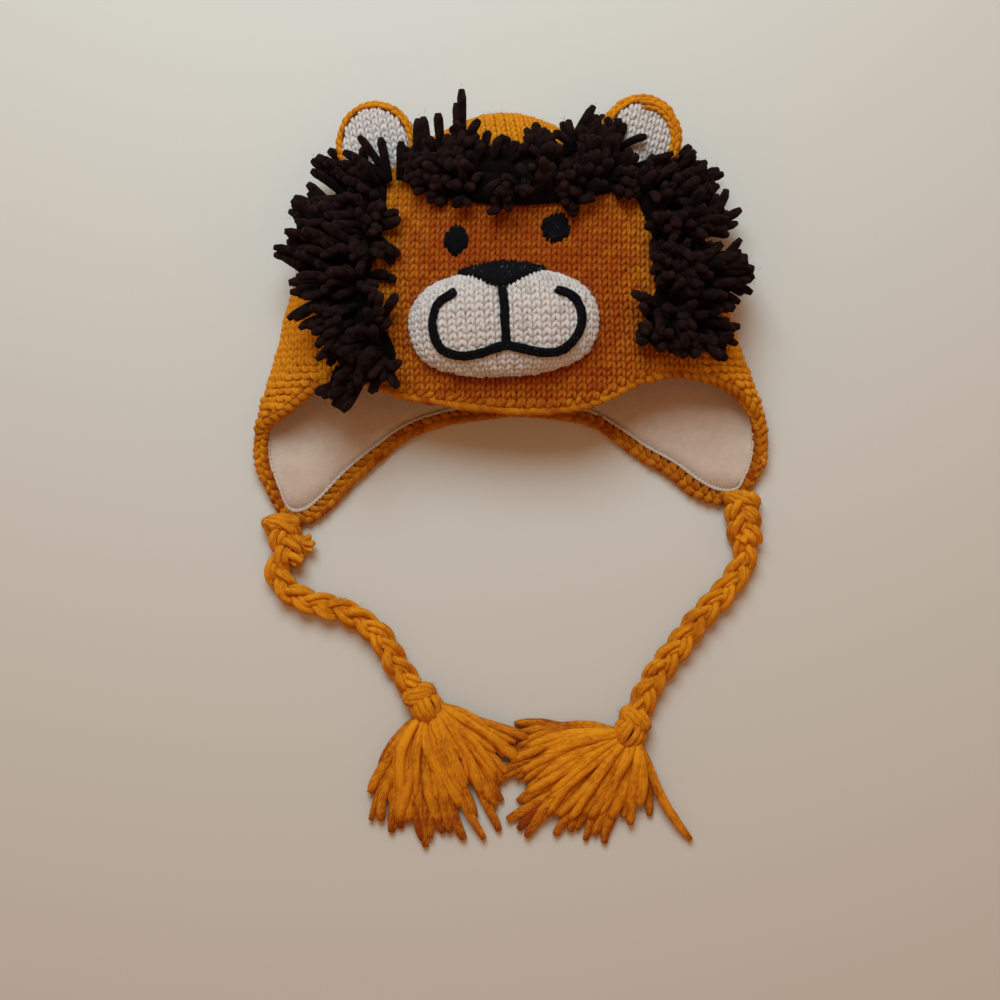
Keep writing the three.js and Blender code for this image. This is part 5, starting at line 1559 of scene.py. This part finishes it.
def make_mane(yarn):
    for name in MANES:
        rng = draws(yarn, "mane", name)
        paths = mane_ends(name, yarn, rng)
        if name == "top":
            paths = np.concatenate([paths, mane_strays(rng)])
        radius = yarn.mane_yarn / 2 * rng.uniform(0.88, 1.14, (len(paths), 1))
        lay_on_crown(paths, radius)
        radii = radius * np.array([0.9, 0.95, 1.0, 1.04, 1.0, 1.05, 1.08, 1.08, 0.70])
        strands = Strands()
        # Each end is deepest at its root and lightest at its tip: painted shade low in the mane, painted
        # highlight at the tips.
        tones = np.linspace(1.1, 0.10, paths.shape[1]) + rng.normal(0, 0.18, (len(paths), 1))
        strands.add(paths, radii, (0.13, 0.27, 0.95), sides=7, tones=tones)
        add_mane_base(strands, name)
        settle(strands.build(f"mane_{name}_yarn", MATERIALS["yarn_brown"]), "yarn_brown", f"mane_{name}")
        FUZZ["brown"].append((paths[:, 3:].reshape(-1, 3), radius.mean()))


# Braids of three strands, each of three yarns: length of a full turn, how far the strands swing aside
# and up, distance of a yarn's middle from its strand's middle, and the yarn's radius
TIE_BRAID = (31 * MM, 3.3 * MM, 1.9 * MM, 1.6 * MM, 1.75 * MM)
ROOT_BRAID = (25 * MM, 4.5 * MM, 2.3 * MM, 2.1 * MM, 2.0 * MM)
ROOT_LENGTH = 23 * MM


def braid(strands, line, form, rng, start=0.0):
    """Braids yarn along a line. start is the share of a turn at which it begins."""
    turn, swing, over, bundle, radius = form
    run = np.linspace(0, length_of(line), len(line))
    along = unit(np.gradient(line, axis=0))
    aside = unit(np.cross(along, (0, 0, 1.0)))
    for strand in range(3):
        phase = 2 * np.pi * (run / turn + strand / 3 + start)
        middle = line + aside * (swing * np.sin(phase))[:, None]
        middle[:, 2] += over * np.sin(2 * phase)
        own = unit(np.gradient(middle, axis=0))
        own_aside = unit(np.cross(own, (0, 0, 1.0)))
        own_up = np.cross(own_aside, own)
        for one in range(3):
            twist = 2 * np.pi * (one / 3 + run / (2.6 * turn)) + strand
            offset = own_aside * np.cos(twist)[:, None] + own_up * np.sin(twist)[:, None]
            path = middle + offset * bundle
            swell = radius * (1 + 0.07 * np.sin(run / (2.1 * MM) + 5 * rng.random()))
            keep_over(path, swell + TABLE_GAP)
            strands.add(path[None], swell[None], own_up[None], sides=8, tones=0.10 + 0.14 * rng.random())
            FUZZ["gold"].append((path, radius))


def tie_line(side, samples):
    """Middle line of a tie, in space."""
    flat = smooth_line(np.array(TIE_ROUTES[side]), samples)
    return np.column_stack([flat, np.full(len(flat), TIE_HIGH)])


def make_ties(yarn):
    for side in TIE_ROUTES:
        rng = draws(yarn, "ties", side)
        line = tie_line(side, np.linspace(0, 1, 120))
        strands = Strands()
        braid(strands, line, TIE_BRAID, rng)
        tie = strands.build(f"tie_{side}_braid", MATERIALS["yarn_gold"])
        settle(tie, "yarn_gold", f"tie_{side}")


def wrapped_lump(strands, middle, turn, half, wraps, radius, rng, tilt):
    """A lump of wound yarn: wraps run from one end of an ellipsoid to the other."""
    forward = np.array([math.cos(turn), math.sin(turn), 0.0])
    side = np.array([-math.sin(turn), math.cos(turn), 0.0])
    up = np.array([0, 0, 1.0])
    shares = np.linspace(-0.92, 0.92, 13)
    for k in range(wraps):
        roll = 2 * np.pi * (k + 0.3 * rng.random()) / wraps
        lean = tilt * shares
        c = np.cos(shares * np.pi / 2)[:, None]
        path = (
            np.asarray(middle) + forward * (half[0] * np.sin(shares * np.pi / 2))[:, None]
            + side * c * (half[1] * np.cos(roll + lean))[:, None]
            + up * c * (half[2] * np.sin(roll + lean))[:, None]
        )
        outward = unit(path - np.asarray(middle))
        size = radius * (1 - 0.35 * np.abs(shares) ** 4)
        keep_over(path, size + TABLE_GAP)
        strands.add(path[None], size[None], outward[None], sides=8, tones=0.12 + 0.1 * rng.random())
        FUZZ["gold"].append((path, radius))


KNOT_YARN = 1.7 * MM            # radius of the yarn in the knots


def make_knots(yarn):
    for side, (x, y, turn) in KNOTS.items():
        rng = draws(yarn, "knots", side)
        strands = Strands()
        forward = np.array([math.cos(turn), math.sin(turn)])
        front = np.array([x, y]) + forward * KNOT_WIDTH * 0.14
        behind = np.array([x, y]) - forward * KNOT_WIDTH * 0.24
        inner = KNOT_WIDTH / 2 - KNOT_YARN
        wrapped_lump(
            strands, (*front, 7.2 * MM), turn + 0.1, (inner * 0.95, inner * 0.92, inner * 0.86), 11,
            KNOT_YARN, rng, tilt=0.35,
        )
        wrapped_lump(
            strands, (*behind, 7.0 * MM), turn + 1.35, (inner * 1.05, inner * 0.62, inner * 0.75), 9,
            KNOT_YARN, rng, tilt=0.5,
        )
        piece = strands.build(f"knot_{side}_wraps", MATERIALS["yarn_gold"])
        TIE_PARTS[side].append(settle(piece, "yarn_gold", f"knot_{side}"))


CUT_YARN = 1.2 * MM             # radius of the cut ends beside the left root


def add_cut_ends(strands, x, y, rng):
    """The cut ends beside the first loop of the left root."""
    count = 9
    start = np.array([x + 5.5 * MM, y - 1.5 * MM, 5.0 * MM]) + rng.normal(0, 1.3 * MM, (count, 3))
    heading = rng.uniform(-0.7, 0.3, count)
    way = np.column_stack([np.cos(heading), np.sin(heading), rng.uniform(-0.2, 0.4, count)])
    length = rng.uniform(5, 8.5, count) * MM
    paths = bent_paths(start, way, length, rng.normal(0, 0.5, (count, 3)), 6)
    keep_over(paths, CUT_YARN + 0.2 * MM)
    strands.add(paths, CUT_YARN, (0.1, 0.2, 0.95), sides=7, tones=0.1)
    FUZZ["gold"].append((paths[:, 2:].reshape(-1, 3), CUT_YARN))


def make_roots(yarn):
    for side, (x, y, turn) in ROOTS.items():
        rng = draws(yarn, "roots", side)
        strands = Strands()
        forward = np.array([math.cos(turn), math.sin(turn), 0.0])
        middle = np.array([x, y, 6.4 * MM])
        out = np.linspace(0.42, -0.50, 60)[:, None] * ROOT_LENGTH
        braid(strands, middle + forward * out, ROOT_BRAID, rng, start=0.15 if side == "left" else 0.6)
        # a wrap across the flap's tip
        tip = middle + forward * 0.36 * ROOT_LENGTH
        wrapped_lump(
            strands, (tip[0], tip[1], 6.2 * MM), turn + 1.35, (8.2 * MM, 2.9 * MM, 4.1 * MM), 9,
            1.5 * MM, rng, tilt=1.1,
        )
        if side == "left":
            add_cut_ends(strands, x, y, rng)
        piece = strands.build(f"root_{side}_loops", MATERIALS["yarn_gold"])
        TIE_PARTS[side].append(settle(piece, "yarn_gold", f"root_{side}"))


TASSEL_STEPS = np.linspace(0, 1, 16)
STRAY_LAYER = 0.3               # how deep in its tassel the end that sticks out lies


def tassel_fan(side, count, rng):
    """Place in the fan, layer, heading, reach and turning of each end. Layer 0 is the lowest."""
    fan = np.array(TASSEL_FANS[side])
    share = np.clip((np.arange(count) + rng.uniform(-0.5, 0.5, count)) / (count - 1), 0, 1)
    layer = rng.permutation(count) / count
    rows = np.arange(len(fan)) / (len(fan) - 1)
    heading, reach, turning = (np.interp(share, rows, fan[:, k]) for k in range(3))
    reach = reach * rng.uniform(0.80, 1.04, count) * (1.08 - 0.36 * layer)
    place, stray_heading, stray_reach = TASSEL_STRAYS[side]
    stray = int(place * (count - 1))
    heading[stray], reach[stray], turning[stray], layer[stray] = stray_heading, stray_reach, 0.0, STRAY_LAYER
    return share, layer, heading, reach, turning


def tassel_flat(side, share, heading, reach, turning, rng):
    """Paths of the ends as seen from above, from the knot outwards."""
    x, y, turn = KNOTS[side]
    count, steps = len(share), len(TASSEL_STEPS)
    bearing = heading[:, None] + turning[:, None] * (TASSEL_STEPS - 0.5) + rng.normal(0, 6, (count, 1))
    bearing = np.radians(bearing)
    sway = np.cumsum(rng.normal(0, 1, (count, steps)), axis=1) * 0.050
    way = np.stack([np.cos(bearing + sway), np.sin(bearing + sway)], -1)
    length = TASSEL_LENGTH * reach * TASSEL_SLACK
    flat = np.cumsum(way * (length / (steps - 1))[:, None, None], axis=1)
    flat = np.concatenate([np.zeros((count, 1, 2)), flat[:, :-1]], 1)
    forward = np.array([math.cos(turn), math.sin(turn)])
    spread = (share - 0.5) * np.sign(heading[-1] - heading[0]) * KNOT_WIDTH * 0.72
    head = np.array([x, y]) + forward * KNOT_WIDTH * 0.30
    room = TASSEL_LOW[side] - head[1]
    flat = flat * (room / np.minimum(flat[:, -1, 1], room))[:, None, None]
    return flat + head + (left_of(forward) * spread[:, None])[:, None]


def make_tassels(yarn):
    """Yarn ends that leave the knot side by side, in layers, and sink towards the table."""
    for side in KNOTS:
        rng = draws(yarn, "tassels", side)
        count = yarn.tassel_count
        share, layer, heading, reach, turning = tassel_fan(side, count, rng)
        flat = tassel_flat(side, share, heading, reach, turning, rng)
        radius = yarn.tassel_yarn / 2 * rng.uniform(0.88, 1.12, (count, 1))
        high = radius + (TASSEL_THICK - 2.2 * radius) * layer[:, None]
        rise = np.interp(TASSEL_STEPS, [0, 0.12, 0.35, 0.7, 1], [0.62, 0.85, 1.0, 0.80, 0.42])
        lumps = 1 + 0.09 * np.cumsum(rng.normal(0, 0.7, flat.shape[:2]), axis=1).clip(-1.6, 1.6)
        radii = radius * lumps * np.interp(TASSEL_STEPS, [0, 0.15, 0.90, 1], [0.8, 1.0, 1.08, 0.74])
        z = np.maximum(high * rise + 0.8 * MM * rng.random((count, 1)), radii + 0.2 * MM)
        paths = np.concatenate([flat, z[..., None]], -1)
        strands = Strands()
        # Lower layers take more of the deep colour: painted shade between the strands.
        tones = 0.72 * (1 - layer) - 0.06 + rng.normal(0, 0.08, count)
        strands.add(paths, radii, (0.0, 0.0, 1.0), sides=8, tones=tones)
        piece = strands.build(f"tassel_{side}_yarn", MATERIALS["yarn_gold"])
        TIE_PARTS[side].append(settle(piece, "yarn_gold", f"tassel_{side}"))
        FUZZ["gold"].append((paths.reshape(-1, 3), radius.mean()))


# Fuzz: fine fibres that stand off the yarn

# yarn: material and slot, number of fibres, length, radius
FUZZ_KINDS = {
    "gold": ("yarn_gold", 9500, 1.9 * MM, 0.07 * MM),
    "brown": ("yarn_brown", 6000, 2.3 * MM, 0.075 * MM),
    "cream": ("knit_cream", 2400, 2.0 * MM, 0.06 * MM),
    "knit": ("knit_gold", 8500, 1.9 * MM, 0.06 * MM),
}


def make_fuzz(yarn):
    """Fine fibres that start on the yarn and stand off in every direction."""
    rng = draws(yarn, "fuzz")
    s, r, _, around, _, _ = crown_stitches(yarn)
    near = np.abs(around) < 1.2
    FUZZ["knit"].append((crown_surface(s[near], r[near], np.full(near.sum(), 0.6 * MM)), 0.9 * MM))
    for name, (material, count, length, thick) in FUZZ_KINDS.items():
        points = np.vstack([p for p, _ in FUZZ[name]])
        radius = float(np.mean([a for _, a in FUZZ[name]]))
        start = points[rng.integers(0, len(points), count)]
        way = unit(rng.normal(0, 1, (count, 3)) + np.array([0, 0, 0.3]))
        start = start + way * radius * 0.8 + rng.normal(0, 0.6 * MM, (count, 3))
        size = length * rng.uniform(0.35, 1.3, count)
        paths = bent_paths(start, way, size, rng.normal(0, 1.5, (count, 3)), 3)
        keep_over(paths, STITCH_GAP)
        strands = Strands()
        strands.add(paths, thick * np.array([1, 0.8, 0.4]), (0.31, 0.53, 0.79), sides=3, tones=0.2)
        settle(strands.build(f"fuzz_{name}", MATERIALS[material]), material)


# The stage

def plain_material(name, colour, roughness):
    """An even material without texture, for the table."""
    material = bpy.data.materials.new(name)
    material.use_nodes = True
    shader = next(n for n in material.node_tree.nodes if n.type == "BSDF_PRINCIPLED")
    shader.inputs["Base Color"].default_value = colour
    shader.inputs["Roughness"].default_value = roughness
    return material


FLOOR_HALF = 1.6
TABLE_COLOUR = (0.62, 0.63, 0.595, 1.0)
# The window's light: its place, what it is aimed at, its width, its power in watts and its colour
WINDOW_PLACE = (-0.12, 0.60, 0.84)
WINDOW_AIM = (0.0, 0.15, 0.0)
WINDOW_SIZE = 0.70
WINDOW_POWER = 9.6
WINDOW_COLOUR = (0.72, 0.93, 1.0)
ROOM_LIGHT = (1.0, 0.49, 0.23, 1.0)
ROOM_STRENGTH = 0.45


def make_stage():
    scene = bpy.context.scene
    half = FLOOR_HALF
    corners = np.array([(-half, -half, 0), (half, -half, 0), (half, half, 0), (-half, half, 0)])
    material = plain_material("table_top", TABLE_COLOUR, 0.6)
    floor = mesh_object("floor", corners, np.arange(4), np.array([4]), material)
    light = bpy.data.lights.new("window", "AREA")
    light.shape = "DISK"
    light.size = WINDOW_SIZE
    light.energy = WINDOW_POWER
    light.color = WINDOW_COLOUR
    lamp = bpy.data.objects.new("window", light)
    lamp.location = WINDOW_PLACE
    aim = Vector(WINDOW_AIM) - Vector(WINDOW_PLACE)
    lamp.rotation_euler = aim.to_track_quat("-Z", "Y").to_euler()
    scene.collection.objects.link(lamp)
    world = bpy.data.worlds.new("soft_room")
    world.use_nodes = True
    background = next(n for n in world.node_tree.nodes if n.type == "BACKGROUND")
    background.inputs["Color"].default_value = ROOM_LIGHT
    background.inputs["Strength"].default_value = ROOM_STRENGTH
    scene.world = world
    scene.view_settings.view_transform = "Standard"
    camera = bpy.data.cameras.new("camera")
    camera.sensor_width = SENSOR
    camera.lens = SENSOR * CAMERA_HEIGHT / VIEW_WIDTH
    rig = bpy.data.objects.new("camera", camera)
    rig.location = (*CAMERA_OVER, CAMERA_HEIGHT)
    scene.collection.objects.link(rig)
    scene.camera = rig


# Operators and panel

class KNITTED_HAT_OT_stage(bpy.types.Operator):
    """Makes the floor, the light and the camera."""

    bl_idname = "knitted_hat.stage"
    bl_label = "Stage"

    def execute(self, context):
        make_stage()
        return {"FINISHED"}


class KNITTED_HAT_OT_materials(bpy.types.Operator):
    """Makes the wool and fleece materials."""

    bl_idname = "knitted_hat.materials"
    bl_label = "Materials"

    def execute(self, context):
        make_materials(context.scene.knitted_hat_colours)
        return {"FINISHED"}


class KNITTED_HAT_OT_ties(bpy.types.Operator):
    """Braids the two ties."""

    bl_idname = "knitted_hat.ties"
    bl_label = "Ties"

    def execute(self, context):
        make_ties(context.scene.knitted_hat_yarn)
        return {"FINISHED"}


class KNITTED_HAT_OT_roots(bpy.types.Operator):
    """Braids the thick start of each tie at the flap's tip."""

    bl_idname = "knitted_hat.roots"
    bl_label = "Tie Roots"

    def execute(self, context):
        make_roots(context.scene.knitted_hat_yarn)
        return {"FINISHED"}


class KNITTED_HAT_OT_knots(bpy.types.Operator):
    """Winds the knot at the end of each tie."""

    bl_idname = "knitted_hat.knots"
    bl_label = "Knots"

    def execute(self, context):
        make_knots(context.scene.knitted_hat_yarn)
        return {"FINISHED"}


class KNITTED_HAT_OT_tassels(bpy.types.Operator):
    """Fans out the yarn ends of each tassel."""

    bl_idname = "knitted_hat.tassels"
    bl_label = "Tassels"

    def execute(self, context):
        make_tassels(context.scene.knitted_hat_yarn)
        return {"FINISHED"}


class KNITTED_HAT_OT_cords(bpy.types.Operator):
    bl_idname = "knitted_hat.cords"
    bl_label = "Cords"

    def execute(self, context):
        return {"FINISHED"}


class KNITTED_HAT_OT_crown(bpy.types.Operator):
    """Knits the crown with its two flaps."""

    bl_idname = "knitted_hat.crown"
    bl_label = "Crown"

    def execute(self, context):
        make_crown(context.scene.knitted_hat_yarn)
        return {"FINISHED"}


class KNITTED_HAT_OT_lining(bpy.types.Operator):
    """Makes the fleece lining and its sewn hem."""

    bl_idname = "knitted_hat.lining"
    bl_label = "Lining"

    def execute(self, context):
        make_lining()
        return {"FINISHED"}


class KNITTED_HAT_OT_edging(bpy.types.Operator):
    """Crochets the edging round the crown and flaps."""

    bl_idname = "knitted_hat.edging"
    bl_label = "Edging"

    def execute(self, context):
        make_edging(context.scene.knitted_hat_yarn)
        return {"FINISHED"}


class KNITTED_HAT_OT_muzzle(bpy.types.Operator):
    """Makes the padded muzzle and its knitted cover."""

    bl_idname = "knitted_hat.muzzle"
    bl_label = "Muzzle"

    def execute(self, context):
        make_muzzle(context.scene.knitted_hat_yarn)
        return {"FINISHED"}


class KNITTED_HAT_OT_nose(bpy.types.Operator):
    """Embroiders the nose."""

    bl_idname = "knitted_hat.nose"
    bl_label = "Nose"

    def execute(self, context):
        make_nose(context.scene.knitted_hat_yarn)
        return {"FINISHED"}


class KNITTED_HAT_OT_mouth(bpy.types.Operator):
    """Works the mouth's line and stem in stem stitch."""

    bl_idname = "knitted_hat.mouth"
    bl_label = "Mouth"

    def execute(self, context):
        make_mouth(context.scene.knitted_hat_yarn)
        return {"FINISHED"}


class KNITTED_HAT_OT_eyes(bpy.types.Operator):
    """Embroiders both eyes."""

    bl_idname = "knitted_hat.eyes"
    bl_label = "Eyes"

    def execute(self, context):
        make_eyes(context.scene.knitted_hat_yarn)
        return {"FINISHED"}


class KNITTED_HAT_OT_ears(bpy.types.Operator):
    """Knits both ears with their rims and faces."""

    bl_idname = "knitted_hat.ears"
    bl_label = "Ears"

    def execute(self, context):
        make_ears(context.scene.knitted_hat_yarn)
        return {"FINISHED"}


class KNITTED_HAT_OT_mane(bpy.types.Operator):
    """Sets the three bunches of cut yarn round the face."""

    bl_idname = "knitted_hat.mane"
    bl_label = "Mane"

    def execute(self, context):
        make_mane(context.scene.knitted_hat_yarn)
        return {"FINISHED"}


class KNITTED_HAT_OT_fuzz(bpy.types.Operator):
    """Adds the fine fibres that stand off the wool."""

    bl_idname = "knitted_hat.fuzz"
    bl_label = "Fuzz"

    def execute(self, context):
        make_fuzz(context.scene.knitted_hat_yarn)
        return {"FINISHED"}


OPERATORS = [
    KNITTED_HAT_OT_stage,
    KNITTED_HAT_OT_materials,
    KNITTED_HAT_OT_ties,
    KNITTED_HAT_OT_roots,
    KNITTED_HAT_OT_knots,
    KNITTED_HAT_OT_tassels,
    KNITTED_HAT_OT_cords,
    KNITTED_HAT_OT_crown,
    KNITTED_HAT_OT_lining,
    KNITTED_HAT_OT_edging,
    KNITTED_HAT_OT_muzzle,
    KNITTED_HAT_OT_nose,
    KNITTED_HAT_OT_mouth,
    KNITTED_HAT_OT_eyes,
    KNITTED_HAT_OT_ears,
    KNITTED_HAT_OT_mane,
    KNITTED_HAT_OT_fuzz,
]


class KNITTED_HAT_PT_panel(bpy.types.Panel):
    """Lists the steps that make the hat, with its yarn sizes and colours."""

    bl_label = "Knitted Hat"
    bl_idname = "KNITTED_HAT_PT_panel"
    bl_space_type = "VIEW_3D"
    bl_region_type = "UI"
    bl_category = "Knitted Hat"

    def draw(self, context):
        layout = self.layout
        for settings in (context.scene.knitted_hat_yarn, context.scene.knitted_hat_colours):
            for name in settings.bl_rna.properties.keys():
                if name not in ("rna_type", "name"):
                    layout.prop(settings, name)
        for made in OPERATORS:
            layout.operator(made.bl_idname)


CLASSES = [HatYarnSettings, HatColourSettings, *OPERATORS, KNITTED_HAT_PT_panel]


def register():
    for item in CLASSES:
        bpy.utils.register_class(item)
    bpy.types.Scene.knitted_hat_yarn = PointerProperty(type=HatYarnSettings)
    bpy.types.Scene.knitted_hat_colours = PointerProperty(type=HatColourSettings)


def unregister():
    del bpy.types.Scene.knitted_hat_colours
    del bpy.types.Scene.knitted_hat_yarn
    for item in reversed(CLASSES):
        bpy.utils.unregister_class(item)


def main():
    register()
    for made in OPERATORS:
        category, name = made.bl_idname.split(".")
        getattr(getattr(bpy.ops, category), name)()


if __name__ == "__main__":
    main()
